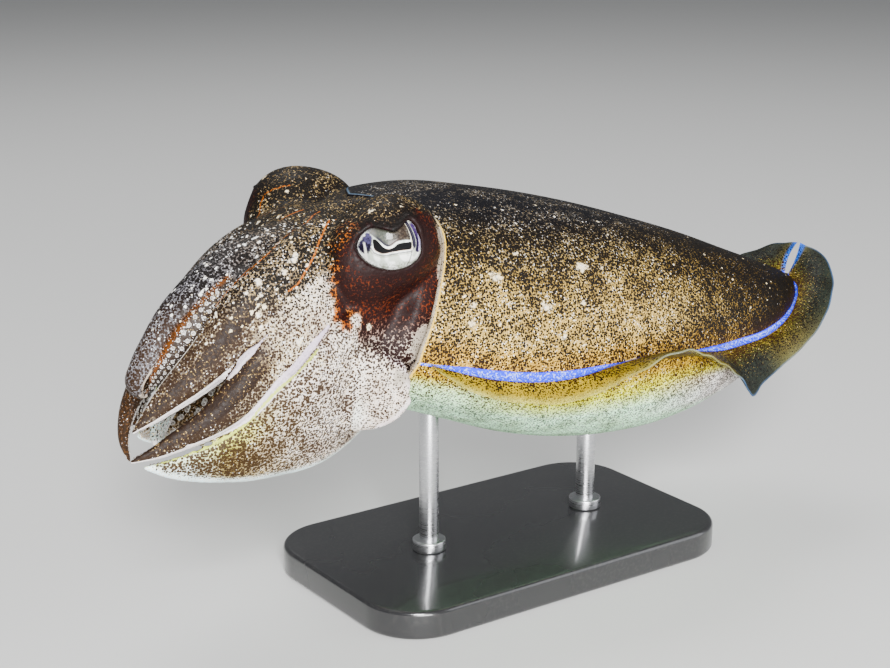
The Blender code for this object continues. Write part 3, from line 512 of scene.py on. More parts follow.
# Two fins run the whole length of the mantle: thin frills of muscle that ripple as it hovers.
# They are amber at the root, grey-green and see-through towards the margin.
FIN_LEFT = np.array([
    (-31, -31.5, -39.5, 92), (-23, -24, -42.5, 86), (-13, -14, -45.5, 81), (4, 6, -47.5, 76.5),
    (16, 19, -49.5, 78), (29, 33, -51.5, 82.5), (39, 43, -52, 85.5), (48, 52, -51, 85.5),
    (57, 62, -49, 81.5), (65, 71, -47, 76.5), (71, 79, -45, 71), (76, 86, -43, 64.5),
    (80, 89, -41.8, 61.8), (86, 95, -39.5, 64), (98, 107, -36, 67), (110, 121, -32.5, 71),
    (121, 135, -27.5, 77), (131, 146.5, -20, 85.5), (138, 151, -11, 92.5), (143.8, 149.8, -0.4, 95.5),
])
FIN_RIGHT = np.array([
    (-31, -31.5, 39.5, 92), (-23, -24, 44, 89.5), (-13, -14, 49, 88.5), (4, 5, 54, 86),
    (16, 17, 55, 82), (29, 30, 54, 77.5), (39, 41, 52, 74), (48, 51, 50, 73), (57, 61, 49.5, 75.5),
    (65, 70, 49.5, 80), (72, 78, 48.5, 84), (79, 86, 46, 85.5), (88, 96, 42.5, 83),
    (98, 107, 38.5, 80), (110, 121, 33.5, 80), (121, 134, 27.5, 83), (131, 145, 20, 88.5),
    (138, 150, 11, 93), (143.8, 149.4, 0.4, 95.5),
])
FIN_STEPS, FIN_ACROSS = 380, 44
FIN_ROOT, FIN_EDGE = 2.4, 0.55
HONEY, STRAW, DARK_AMBER = (0.44, 0.35, 0.13), (0.60, 0.56, 0.26), (0.18, 0.15, 0.06)
MOSS, GLASS = (0.10, 0.105, 0.045), (0.035, 0.042, 0.034)
MARGIN, BLUE_END = (0.13, 0.18, 0.27), (0.16, 0.28, 0.75)


def make_fin(name, table, side):
    keys = np.column_stack([np.linspace(0, 1, len(table)), table])
    at = np.linspace(0, 1, FIN_STEPS)
    body_x, margin = through(keys, at)[:, 0], through(keys, at)[:, 1:]
    body = through(MANTLE, body_x)
    root_y = side * (body[:, 3] - 2.0) * (1 - 0.8 * step_between(0.94, 1, at))
    root = np.column_stack([body_x, root_y, body[:, 1]])
    ahead = np.gradient(root, axis=0)
    reach = margin - root
    normal = np.cross(ahead, reach)
    normal /= np.linalg.norm(normal, axis=1, keepdims=True)
    width = np.linalg.norm(reach, axis=1)
    run = np.concatenate([[0], np.cumsum(np.linalg.norm(np.diff(margin, axis=0), axis=1))])
    share = np.linspace(0, 1, FIN_ACROSS) ** 0.9
    from_end = np.minimum(np.arange(FIN_STEPS), np.arange(FIN_STEPS)[::-1])
    fade = np.minimum(1, 0.3 + 0.04 * from_end)
    upper, lower = [], []
    for s in share:
        bow = np.sin(math.pi * s) * 0.12 * width
        ripple = 0.35 * s**3 * np.sin(run / 2.1 + 2.0 * np.sin(run / 17)) * np.clip(width / 14, 0, 1)
        p = root + reach * s + np.column_stack([0 * bow, side * bow * 0.7, bow * 0.5])
        p = p + normal * ripple[:, None]
        half = (FIN_ROOT + (FIN_EDGE - FIN_ROOT) * s**0.5) / 2 * fade * (1 if s < 1 else 0.3)
        upper.append(p + normal * half[:, None])
        lower.append(p - normal * half[:, None])
    rings = np.array(upper + lower[::-1]).transpose(1, 0, 2)
    across = np.concatenate([share, share[::-1]])[None, :] + np.zeros((FIN_STEPS, 1))
    out = across * width[:, None] - 2.0
    narrow = step_between(17, 9, width)[:, None] * np.ones_like(across)
    skin = tones(
        across, (0, DARK_AMBER), (0.22, DARK_AMBER), (0.34, MOSS), (0.54, GLASS), (0.96, GLASS),
        (0.99, MARGIN),
    )
    skin = mixed(narrow, skin, tones(across, (0, HONEY), (0.75, HONEY), (1, STRAW)))
    skin = mixed(step_between(0.985, 0.995, at)[:, None] * np.ones_like(across), skin, BLUE_END)
    top = np.repeat([[1.0] * FIN_ACROSS + [0.0] * FIN_ACROSS], FIN_STEPS, axis=0)
    if normal[FIN_STEPS // 2, 2] < 0:
        top = 1 - top
    blue = np.where(top > 0.5, blue_line(-np.maximum(out - 0.5, 0), blue_reach(body_x)[:, None]), FAR)
    cover = np.interp(across, [0, 0.3, 0.6, 0.9, 1], [0.56, 0.54, 0.42, 0.22, 0])
    clear = np.interp(across, [0, 0.4, 0.75, 0.97, 1], [1.0, 1.0, 0.97, 0.94, 1.0])
    clear = clear * (1 - narrow) + narrow * np.interp(across, [0, 0.5, 0.85, 1], [1.0, 0.92, 0.55, 0.35])
    far, none = np.full_like(out, FAR), np.zeros_like(out)
    ink = mixed(step_between(0.2, 0.6, across), SEPIA, SOOT)
    gleam = cover * np.interp(across, [0.2, 0.6], [0.6, 0.25])
    fin = wrapped_sheet(
        name, rings, skin=skin, ink=ink, cover=cover, gleam=gleam, frost=none, streak=none,
        blue=blue, spots=far, thread=far, dye=skin, clear=clear,
    )
    fin.data.materials.append(fin_finish)
    return fin


fin_finish = hide_finish("fin_hide", clear="clear")
for side, name, table in ((-1, "fin_left", FIN_LEFT), (1, "fin_right", FIN_RIGHT)):
    finish_piece(make_fin(name + "_hide", table, side), "fin_skin", name)

# Head and arms are one skin: two big eyes under thick brows, and eight arms round the mouth,
# pressed together at their roots. Each arm has a pale keel and thin membranes along its edges.
# The parts are laid over one another and remeshed, so that they melt together as flesh does.
HEAD_CENTRE = np.array([-45.0, 0.0, 104.0])
HEAD_FORMS = [
    ((-46, 0, 104), (24, 31, 27.5)), ((-58, 0, 103), (17, 25, 23.5)), ((-24, 0, 104), (22, 29, 27)),
    ((-45.5, -25, 120.5), (11.5, 10, 11.5)), ((-41, 24, 120.5), (11, 10, 11.5)),
    ((-33, -23, 123.5), (13, 11, 12)), ((-31, 22.5, 124), (13, 11, 12)),
]
HEAD_MELT, NECK_Z = 2.2, 100.0
EYE_PLACE = np.array([-37.0, 26.0, 125.3])
EYE_RADIUS, EYE_COVER, EYE_YAW = 11.0, 1.0, math.radians(16.0)
LID_OUTLINE = [
    (-10.5, 0.3), (-10.1, 2.2), (-9.3, 3.8), (-8.0, 5.2), (-6.9, 5.8), (-5.7, 5.9), (-4.6, 5.7), (-3.2, 5.4),
    (-1.9, 5.1), (-0.5, 5.7), (0.9, 6.5), (2.2, 7.6), (3.2, 7.8), (4.0, 7.1), (4.9, 5.6), (5.6, 3.2),
    (5.9, 0.1), (5.2, -2.4), (3.3, -3.9), (0.7, -4.8), (-2.1, -5.1), (-5.1, -4.6), (-7.5, -3.6),
    (-9.3, -2.0),
]
LID_MIDDLE = (-2.0, 1.0, 0.0)
LID_SLANT = np.array([-0.34, 0.28, 1.0])


def eye_frame(side):
    """Middle of an eye and its axes: backwards, up, and outwards."""
    middle = EYE_PLACE * (1, side, 1)
    back = np.array([math.cos(EYE_YAW), side * math.sin(EYE_YAW), 0.0])
    out = np.array([-math.sin(EYE_YAW), side * math.cos(EYE_YAW), 0.0])
    return middle, back, np.array([0.0, 0.0, 1.0]), out


def closed_curve(outline, count):
    """Evenly spaced points on a smooth closed line through an outline's points."""
    ring = np.array(outline, float)
    wide = np.vstack([ring[-2:], ring, ring[:3]])
    run = np.arange(len(wide)) - 2.0
    return through(np.column_stack([run, wide]), np.linspace(0, len(ring), count, endpoint=False))


def skin_depth(points):
    """How far points lie outside the head's melted forms, roughly in millimetres."""
    eyes = [(EYE_PLACE * (1, side, 1), (EYE_RADIUS + EYE_COVER,) * 3) for side in (-1, 1)]
    total = 0.0
    for centre, size in HEAD_FORMS + eyes:
        centre, size = np.array(centre, float), np.array(size, float)
        scaled = (points - centre) / size
        k0 = np.linalg.norm(scaled, axis=-1)
        k1 = np.linalg.norm(scaled / size, axis=-1)
        total = total + np.exp(-k0 * (k0 - 1) / np.maximum(k1, 1e-6) / HEAD_MELT)
    return -HEAD_MELT * np.log(total)


def unit_ball(name, segments, ring_count):
    """A ball of radius 1, and its points, which are then moved to give a form."""
    bpy.ops.object.select_all(action="DESELECT")
    bpy.ops.mesh.primitive_uv_sphere_add(segments=segments, ring_count=ring_count, radius=1)
    piece = bpy.context.object
    piece.name = name
    return piece, vertex_values(piece)


head, ray = unit_ball("head_and_arms", 168, 120)
ray = ray / np.linalg.norm(ray, axis=1, keepdims=True)
near, far = np.full(len(ray), 5.0), np.full(len(ray), 70.0)
for _ in range(26):
    middle = (near + far) / 2
    outside = skin_depth(HEAD_CENTRE + ray * middle[:, None]) > 0
    far = np.where(outside, middle, far)
    near = np.where(outside, near, middle)
neck = (RECESS_X - 0.5 - HEAD_CENTRE[0]) / np.maximum(ray[:, 0], 0.05)
near = np.where(ray[:, 0] > 0.05, np.minimum(near, neck), near)

# The neck fills the collar from inside, all but a shallow groove.
x, y, z = (HEAD_CENTRE + ray * near[:, None]).T
turn = np.arctan2(np.abs(y), z - NECK_Z)
collar_x = through(COLLAR, np.degrees(turn))[:, 0]
back_z, fin_z, belly_z, half_y = through(MANTLE, np.clip(collar_x, -42, 0)).T
tall = np.where(z > fin_z, back_z - NECK_Z, NECK_Z - belly_z)
room = 1 / np.sqrt((np.sin(turn) / half_y) ** 2 + (np.cos(turn) / tall) ** 2) - RIM - 0.8
spread = np.hypot(y, z - NECK_Z)
over_crown = step_between(math.radians(48), math.radians(26), turn)
room = room + over_crown * (0.8 + RIM * 0.55)
fill = step_between(collar_x - 9 - 5 * over_crown, collar_x - 1.5 - 2 * over_crown, x)
fill = fill * step_between(4, 12, spread)
grown = 1 + fill * np.clip(room / np.maximum(spread, 1) - 1, 0, 0.6)
move_points(head, np.column_stack([x, y * grown, NECK_Z + (z - NECK_Z) * grown]))


def lid_cutter(side):
    """A prism of the opening's outline, from inside the eyeball out through the skin."""
    middle, back, up, out = eye_frame(side)
    outline = closed_curve(LID_OUTLINE, 120)
    shell = np.sqrt((EYE_RADIUS + EYE_COVER) ** 2 - (outline**2).sum(1))
    edge = np.column_stack([outline, shell])
    bm = bmesh.new()
    rows = []
    for depth, flare in ((-3.0, 1.0), (12.0, 1.12)):
        local = (edge - LID_MIDDLE) * (flare, flare, 1) + LID_MIDDLE + depth * LID_SLANT
        places = middle + local[:, :1] * back + local[:, 1:2] * up + local[:, 2:] * out
        rows.append([bm.verts.new((p + BODY_PLACE) * MM) for p in places])
    for k in range(len(outline)):
        j = (k + 1) % len(outline)
        bm.faces.new((rows[0][k], rows[0][j], rows[1][j], rows[1][k]))
    bm.faces.new(rows[0])
    bm.faces.new(rows[1])
    bmesh.ops.recalc_face_normals(bm, faces=bm.faces)
    mesh = bpy.data.meshes.new("lid_cutter")
    bm.to_mesh(mesh)
    bm.free()
    cutter = bpy.data.objects.new("lid_cutter", mesh)
    bpy.context.collection.objects.link(cutter)
    return cutter


def apply_modifier(piece, kind, **settings):
    pick(piece)
    step = piece.modifiers.new(kind.lower(), kind)
    for key, value in settings.items():
        setattr(step, key, value)
    bpy.ops.object.modifier_apply(modifier=step.name)


for side in (-1, 1):
    cutter = lid_cutter(side)
    apply_modifier(head, "BOOLEAN", operation="DIFFERENCE", solver="MANIFOLD", object=cutter)
    bpy.data.objects.remove(cutter)

# Each arm: the way its outer face looks, then spine X, Y, Z, half width, outer and inner
# thickness at each point from root to tip, for the left arms and the right ones.
ARMS = {
    "left_1": ((-0.35, -0.30, 1.0), [
        (-48, -8.5, 123.5, 8.4, 5.5, 5.0), (-59, -8.5, 124, 8.4, 5.5, 5.0),
        (-68, -8.3, 121.8, 8.6, 5.6, 5.0), (-77, -7.8, 118.2, 7.8, 5.6, 5.0),
        (-85, -7.8, 113.6, 6.9, 5.4, 4.8), (-93, -8.1, 107.8, 5.5, 4.9, 4.2),
        (-99, -8.5, 102.0, 4.2, 3.9, 3.2), (-103.5, -8.8, 96.8, 3.3, 2.8, 2.2),
        (-105.6, -9, 92.5, 2.8, 1.8, 1.4), (-104.4, -8.6, 89.8, 2.0, 1.2, 1.0),
        (-102, -8.3, 89.2, 1.4, 0.9, 0.7), (-100.6, -8, 91, 0.6, 0.5, 0.4),
    ]),
    "left_2": ((-0.25, -0.86, 0.25), [
        (-48, -19, 124, 9.5, 6.0, 5.0), (-57, -20, 121.5, 9.8, 6.0, 5.0),
        (-66, -21, 117.5, 9.4, 6.0, 5.0), (-74, -21.8, 113, 8.6, 5.6, 4.6),
        (-80.5, -22, 108, 7.8, 5.2, 4.2), (-86, -22, 103, 6.6, 4.7, 3.8),
        (-91, -21.8, 98.8, 5.7, 4.2, 3.3), (-96, -21.3, 95, 4.8, 3.5, 2.8),
        (-101, -20.8, 91.5, 3.7, 2.8, 2.2), (-106, -20.3, 87.8, 2.4, 1.9, 1.5),
        (-112, -20, 83.6, 0.6, 0.5, 0.45),
    ]),
    "left_3": ((-0.20, -0.95, 0.0), [
        (-46, -22, 112, 10.0, 6.0, 5.0), (-54, -24, 110.5, 10.0, 6.0, 5.0),
        (-63, -26, 106, 10.0, 5.8, 4.8), (-71, -27.3, 100.8, 9.2, 5.3, 4.4),
        (-79, -28, 94.6, 7.6, 4.8, 3.8), (-87, -28, 88.8, 5.6, 4.0, 3.1),
        (-93.5, -27.6, 85, 4.1, 3.2, 2.5), (-100, -27, 82.4, 3.1, 2.4, 1.9),
        (-107, -26.4, 80, 2.0, 1.6, 1.2), (-115.5, -26, 78.2, 0.6, 0.5, 0.45),
    ]),
    "left_4": ((-0.10, -0.93, -0.35), [
        (-33, -19, 96, 17.0, 5.0, 4.5), (-43, -22.5, 92.5, 20.5, 5.2, 4.5),
        (-52.5, -25.5, 86.5, 21.5, 5.4, 4.5), (-62, -27, 81.2, 19.5, 5.2, 4.2),
        (-71.5, -27, 77.6, 15.8, 4.6, 3.6), (-81, -26.5, 74.4, 10.8, 3.8, 2.9),
        (-90, -25.5, 73, 6.9, 3.0, 2.3), (-98, -24.6, 73, 4.4, 2.2, 1.7),
        (-105, -23.8, 73.7, 2.4, 1.5, 1.2), (-110.5, -23, 74.8, 0.6, 0.5, 0.45),
    ]),
    "right_1": ((-0.6, 0.30, 0.75), [
        (-48, 8.5, 123.5, 8.4, 5.5, 5.0), (-59, 8.7, 122, 8.4, 5.5, 5.0),
        (-67, 9, 118, 8.4, 5.6, 5.0), (-75, 9.5, 111.5, 8.0, 5.4, 4.6),
        (-82.5, 10, 103, 7.0, 5.0, 4.0), (-89, 10, 94, 5.6, 4.3, 3.3),
        (-96, 9.5, 85.5, 4.3, 3.3, 2.6), (-100.2, 9, 77.5, 3.0, 2.4, 1.8),
        (-101.6, 8.5, 71, 1.8, 1.5, 1.2), (-100.4, 8, 65.0, 0.6, 0.5, 0.4),
    ]),
    "right_2": ((-0.45, 0.80, 0.35), [
        (-46, 18, 119, 9.5, 6.0, 5.0), (-56, 20, 114.5, 9.6, 6.0, 5.0),
        (-64, 21, 109, 9.4, 6.0, 4.8), (-72, 21.5, 102, 8.6, 5.4, 4.4),
        (-79, 21.5, 94.8, 7.2, 4.9, 3.9), (-85, 21.2, 87.8, 5.7, 4.2, 3.3),
        (-89.5, 20.8, 81.6, 4.3, 3.3, 2.6), (-92, 20.3, 75.6, 2.9, 2.2, 1.8),
        (-92.2, 20, 71, 1.7, 1.4, 1.1), (-91.5, 19.6, 67, 0.6, 0.5, 0.45),
    ]),
    "right_3": ((-0.20, 0.95, 0.0), [
        (-46, 22, 107, 10.0, 6.0, 5.0), (-54, 24, 104.5, 10.0, 6.0, 5.0),
        (-62.5, 24.5, 99.5, 9.4, 5.6, 4.6), (-71, 22, 93.5, 7.8, 5.0, 4.0),
        (-78.5, 17.5, 87, 6.0, 4.0, 3.2), (-85, 13, 80.5, 4.4, 3.0, 2.2),
        (-89.5, 10, 74.5, 3.1, 2.0, 1.5), (-91.5, 8.5, 70.3, 2.3, 1.4, 1.1),
        (-90.5, 8, 67.5, 1.7, 1.1, 0.9), (-88.3, 7.6, 67.4, 1.2, 0.8, 0.7),
        (-87.2, 7.3, 69.5, 0.5, 0.4, 0.4),
    ]),
    "right_4": ((-0.10, 0.93, -0.35), [
        (-33, 19, 96, 17.0, 5.0, 4.5), (-43, 22.5, 92, 20.0, 5.2, 4.5),
        (-52, 25, 86, 20.5, 5.4, 4.5), (-61, 25.5, 80.4, 18.0, 5.2, 4.2),
        (-69.5, 24.5, 76, 13.8, 4.5, 3.6), (-77, 22.5, 72.5, 9.5, 3.7, 2.9),
        (-83, 20, 70.2, 6.2, 2.9, 2.3), (-88, 17.6, 69.2, 3.9, 2.2, 1.7),
        (-92, 15.6, 69, 2.2, 1.5, 1.2), (-95, 14, 69.5, 0.6, 0.5, 0.45),
    ]),
}
# Inside the first left arm a strip of its sucker-bearing face turns outwards and shows.
STRIP = ((-0.5, -0.83, 0.1), [
    (-80, -15.4, 117.2, 1.8, 1.0, 2.2), (-87, -16.2, 112.4, 2.3, 1.1, 2.6),
    (-90.1, -16.4, 109.7, 2.5, 1.1, 2.6), (-92.9, -16.1, 106.5, 2.6, 1.1, 2.5),
    (-95.6, -15.4, 103, 2.4, 1.1, 2.4), (-97.5, -14.2, 99.6, 2.1, 1.0, 2.2),
    (-99.4, -12.6, 95.8, 1.7, 0.9, 1.8), (-100.9, -10.8, 92.6, 1.2, 0.8, 1.4),
    (-101.6, -9.6, 90.6, 0.7, 0.6, 0.8),
])
# Behind each fourth arm a thin flap of the cheek lies over the edge of the collar.
FLAPS = [((-0.3, side * 0.93, -0.2), [
    (-56, side * 27.5, 87, 13, 4.0, 6), (-50, side * 30.5, 87, 13, 3.6, 6),
    (-45.5, side * 33, 87.5, 12, 3.0, 5), (-42.5, side * 34.8, 88.3, 10.3, 2.4, 4),
    (-40.3, side * 35.9, 89, 8, 1.8, 2.6),
    (-38.8, side * 36.5, 89.6, 5.3, 1.3, 1.6), (-37.9, side * 36.8, 89.8, 2.6, 0.9, 0.9),
    (-37.6, side * 36.9, 89.9, 0.6, 0.5, 0.5),
]) for side in (-1, 1)]
MEMBRANE = 0.9


def arm_line(arm, count):
    """Places along an arm with their width, outer and forward axes, sizes and share of length."""
    outer, spine = arm
    spine = np.array(spine, float)
    steps = np.linalg.norm(np.diff(spine[:, :3], axis=0), axis=1)
    length = np.concatenate([[0], np.cumsum(steps)])
    keys = np.column_stack([length / length[-1], spine])
    share = np.linspace(0, 1, count)
    value = through(keys, share)
    ahead = through(keys, share + 1e-3)[:, :3] - through(keys, share - 1e-3)[:, :3]
    along = ahead / np.linalg.norm(ahead, axis=1, keepdims=True)
    out = np.empty_like(along)
    last = np.array(outer, float)
    for i, t in enumerate(along):
        last = last - t * (last @ t)
        last = last / np.linalg.norm(last)
        out[i] = last
    size = np.maximum(value[:, 3:], 0.45)
    return value[:, :3], np.cross(along, out), out, size, share, length[-1]


def make_arm(arm):
    place, wide, out, size, share, _ = arm_line(arm, 150)
    even = np.linspace(0, 2 * math.pi, 64, endpoint=False)
    angle = even - 0.35 * np.sin(2 * even)
    rings = []
    for p, w, n, (half, thick, thin), s in zip(place, wide, out, size, share):
        grow = MEMBRANE * float(step_between(0.30, 0.5, s) * step_between(1.0, 0.9, s)) * min(1.0, half / 4)
        edge = np.exp(-((np.sin(angle) * (thick + thin) / 2 / 0.75) ** 2))
        a = half * rounded(np.cos(angle), 0.95) + grow * edge * np.sign(np.cos(angle))
        h = np.where(np.sin(angle) > 0, thick, thin) * rounded(np.sin(angle), 0.95)
        rings.append(p + a[:, None] * w + h[:, None] * n)
    tip = place[-1] + (place[-1] - place[-2]) * 0.8
    root = np.repeat(place[:1], len(angle), axis=0)
    return wrapped_sheet("arm", np.array([root, *rings, np.repeat(tip[None], len(angle), axis=0)]))


def lid_rim(side):
    """The thick edge of the lids, a soft cord round the opening, heavier above."""
    middle, back, up, out = eye_frame(side)
    outline = closed_curve(LID_OUTLINE, 120)
    angle = np.linspace(0, 2 * math.pi, 14, endpoint=False)
    rings = []
    for u, v in outline:
        w = math.sqrt(max((EYE_RADIUS + EYE_COVER) ** 2 - u * u - v * v, 1.0))
        spoke = np.array([u, v, 0]) / max(math.hypot(u, v), 1e-6)
        thick = 0.5 + 0.45 * float(step_between(1.0, 5.0, v)) * float(step_between(-8.0, -4.0, u))
        middle_uvw = np.array([u, v, w]) + spoke * 0.55
        ring = middle_uvw + thick * (np.outer(np.cos(angle), spoke) + np.outer(np.sin(angle), (0, 0, 1)))
        rings.append(middle + ring[:, :1] * back + ring[:, 1:2] * up + ring[:, 2:] * out)
    rings.append(rings[0])
    return wrapped_sheet("lid_rim", np.array(rings))


# The funnel, a short tube under the head that the animal steers by, is part of the same skin.
FUNNEL = np.array([(-16, 86, 8.0), (-30, 83.5, 8.5), (-42, 80.5, 8.0), (-53, 78.5, 6.6), (-60, 78.5, 5.6)])
FUNNEL_BORE, FUNNEL_DEPTH = 4.0, 12.0


def make_funnel():
    keys = np.column_stack([np.arange(len(FUNNEL)), FUNNEL])
    angle = np.linspace(0, 2 * math.pi, 64, endpoint=False)
    outer = through(keys, np.linspace(0, len(FUNNEL) - 1, 60))
    mouth_x, mouth_z, _ = FUNNEL[-1]
    depth_x = mouth_x + FUNNEL_DEPTH
    inner = [
        (mouth_x - 0.5, mouth_z, 5.0), (mouth_x, mouth_z, FUNNEL_BORE),
        (depth_x, mouth_z, FUNNEL_BORE - 0.6), (depth_x, mouth_z, 0.0),
    ]
    rings = []
    for x, z, radius in [(outer[0][0], outer[0][1], 0.0), *outer, *inner]:
        rings.append(np.column_stack([
            np.full(64, x), radius * 1.15 * np.sin(angle), z + radius * np.cos(angle),
        ]))
    return wrapped_sheet("funnel", np.array(rings))


limbs = [make_arm(arm) for arm in (*ARMS.values(), STRIP, *FLAPS)] + [make_funnel(), lid_rim(-1), lid_rim(1)]
pick(head)
for limb in limbs:
    limb.select_set(True)
bpy.ops.object.join()
SKIN_VOXEL = 0.70
apply_modifier(head, "REMESH", mode="VOXEL", voxel_size=SKIN_VOXEL * MM)
apply_modifier(head, "SMOOTH", factor=0.5, iterations=3)


def keep_shell(piece, vertex):
    """Deletes the crumbs that remeshing leaves: all that is not joined to a vertex."""
    pick(piece)
    bpy.ops.object.mode_set(mode="EDIT")
    bpy.ops.mesh.select_mode(type="VERT")
    bpy.ops.mesh.select_all(action="DESELECT")
    bpy.ops.object.mode_set(mode="OBJECT")
    piece.data.vertices[vertex].select = True
    bpy.ops.object.mode_set(mode="EDIT")
    bpy.ops.mesh.select_linked()
    bpy.ops.mesh.select_all(action="INVERT")
    bpy.ops.mesh.delete(type="VERT")
    bpy.ops.object.mode_set(mode="OBJECT")


keep_shell(head, int(np.argmax(vertex_values(head)[:, 0])))

# Where each point of that skin lies: on which arm, how far along it, and across its width.
points = vertex_values(head) / MM - BODY_PLACE
x, y, z = points.T
normals = vertex_values(head, "normal")


def beside(arm, count):
    """Each point's nearest place on an arm, and how far it lies across and out from there."""
    place, wide, out, size, share, _ = arm_line(arm, count)
    nearest = np.concatenate([
        np.argmin(np.linalg.norm(part[:, None] - place[None], axis=2), axis=1)
        for part in np.array_split(points, 8)
    ])
    gone = points - place[nearest]
    across, over = (gone * wide[nearest]).sum(1), (gone * out[nearest]).sum(1)
    return gone, wide[nearest], size[nearest], share[nearest], across, over


best = np.full(len(points), FAR)
arm_of = np.full(len(points), -1)
along_arm, across_mm, over_mm, half_there, thick_there, over_arm = np.zeros((6, len(points)))
for number, arm in enumerate(ARMS.values()):
    _, wide, size, share, a, h = beside(arm, 110)
    half, thick, thin = size.T
    height = h / np.where(h > 0, thick, thin)
    reach = np.hypot(a / half, height)
    closer = (reach < best) & (share > 0.03)
    best = np.where(closer, reach, best)
    arm_of = np.where(closer, number, arm_of)
    along_arm = np.where(closer, share, along_arm)
    across_mm = np.where(closer, a * np.sign(wide[:, 2]), across_mm)
    over_mm = np.where(closer, h, over_mm)
    half_there = np.where(closer, half, half_there)
    thick_there = np.where(closer, thick, thick_there)
    over_arm = np.where(closer, height, over_arm)
across_arm = across_mm / np.maximum(half_there, 0.1)
head_share = step_between(1.6, 0.2, skin_depth(points))
arm_share = step_between(1.45, 1.2, best) * (1 - head_share)


def line_distance(points, line):
    """Distance from points to a line drawn through a few places."""
    line = np.array(line, float)
    best = np.full(len(points), 99.0)
    for a, b in zip(line, line[1:]):
        t = np.clip(((points - a) @ (b - a)) / max((b - a) @ (b - a), 1e-9), 0, 1)
        best = np.minimum(best, np.linalg.norm(points - a - t[:, None] * (b - a), axis=1))
    return best


def inside_outline(px, pz, outline):
    """Signed distance to a closed outline, positive inside it."""
    ring = np.array(outline, float)
    best, odd = np.full(len(px), 99.0), np.zeros(len(px), bool)
    for (ax, az), (bx, bz) in zip(ring, np.roll(ring, -1, axis=0)):
        wide, tall = bx - ax, bz - az
        t = np.clip(((px - ax) * wide + (pz - az) * tall) / (wide**2 + tall**2), 0, 1)
        best = np.minimum(best, np.hypot(px - ax - t * wide, pz - az - t * tall))
        crosses = (az > pz) != (bz > pz)
        odd ^= crosses & (px < wide * (pz - az) / np.where(tall == 0, 1, tall) + ax)
    return np.where(odd, best, -best)


# Markings of the head: the outline of the maroon patch round each eye, and the lines of the
# thin orange threads of the crown and arm roots and of the pale keels on cheek and arm.
PATCH = [
    (-55.7, 123), (-55, 125.6), (-54, 127.2), (-52.8, 128.8), (-51.5, 130.1), (-50, 131.1), (-48.3, 131.9),
    (-46.7, 132.5), (-45.4, 132.3), (-43.6, 131.2), (-42.2, 130.5), (-41.4, 130.5), (-39.6, 131.6),
    (-37.9, 132.8), (-35.6, 134.1), (-33.5, 134.7), (-30.4, 134.3), (-27.2, 132.5), (-25.6, 130.5),
    (-26.1, 128.5), (-25.5, 125.4), (-23.1, 121.2), (-24.3, 117.8), (-24.7, 111.3), (-26, 105),
    (-26.8, 102.7), (-31.9, 102.6), (-35.1, 100), (-35.8, 97.4), (-32.1, 91.1), (-34.3, 88.4),
    (-42.3, 93.4), (-49, 98.5), (-51.5, 103), (-49.5, 107.5), (-52.6, 108.8), (-54.8, 104.8),
    (-57, 105.5), (-57, 112), (-56.2, 117.5),
]
THREADS = [
    [(-46.3, -5.5, 131), (-51.8, -8.7, 129.7), (-57, -13.5, 129.9), (-60.9, -17.3, 129.6),
     (-65.3, -18, 127.9), (-69, -19.6, 125.7), (-73.4, -19.8, 123.1), (-77.8, -20.5, 120.1)],
    [(-46, -13, 130.9), (-50, -17.5, 131), (-53.9, -21.2, 130.3), (-57.1, -23.3, 127.5),
     (-60.1, -25.1, 123.9), (-62.6, -26, 121.2), (-65.9, -26.8, 118.1), (-69.1, -27.1, 116.2)],
    [(-49, -1.9, 130.9), (-55.3, -1.7, 129.7), (-60, -3.0, 129.2), (-67, -3.2, 127.6), (-74, -2.4, 124)],
    [(-46.3, 5.5, 131), (-51.8, 8.7, 129.7), (-57, 13.5, 128.5), (-61, 17, 125), (-66, 19, 120)],
    [(-42, 18.5, 133.6), (-44.7, 20.1, 132.8), (-48.1, 21.7, 131.7), (-51, 20.6, 129.9), (-54.5, 18.1, 127)],
]
CHEEK_KEEL = [
    (-59.5, -31, 106), (-64.3, -31.8, 102.3), (-69.5, -32.1, 97.5), (-74.6, -31.9, 93.2),
    (-80.4, -31.3, 88.6), (-86.1, -30.1, 84.5), (-92.5, -29.4, 82.2), (-100.5, -28.6, 80.4),
]
ARM_KEEL = [
    (-78.4, -31.5, 108.1), (-80.3, -31.2, 106.2), (-82, -30.9, 104.4), (-83.5, -30.4, 102.9),
    (-84.8, -29.8, 101.6), (-86.2, -29.2, 100.1), (-87.1, -28.6, 98.8), (-88.4, -27.6, 97.2),
]


def snapped(line, count=40):
    """A smooth line through a few places, laid onto the skin."""
    line = np.array(line, float)
    run = np.concatenate([[0], np.cumsum(np.linalg.norm(np.diff(line, axis=0), axis=1))])
    fine_line = through(np.column_stack([run, line]), np.linspace(0, run[-1], count))
    laid = np.array([points[np.argmin(((points - p) ** 2).sum(1))] for p in fine_line])
    for _ in range(4):
        laid[1:-1] = (laid[:-2] + 2 * laid[1:-1] + laid[2:]) / 4
    nearest = [np.argmin(((points - p) ** 2).sum(1)) for p in laid]
    lifted = ((points[nearest] - laid) * normals[nearest]).sum(1)
    return laid + normals[nearest] * lifted[:, None]


flank = step_between(23.5, 26.5, np.abs(y))
patch = np.where(flank > 0.01, inside_outline(x, z, PATCH), -FAR)
thread = np.full(len(points), FAR)
for line in THREADS:
    thread = np.minimum(thread, line_distance(points, snapped(line)))

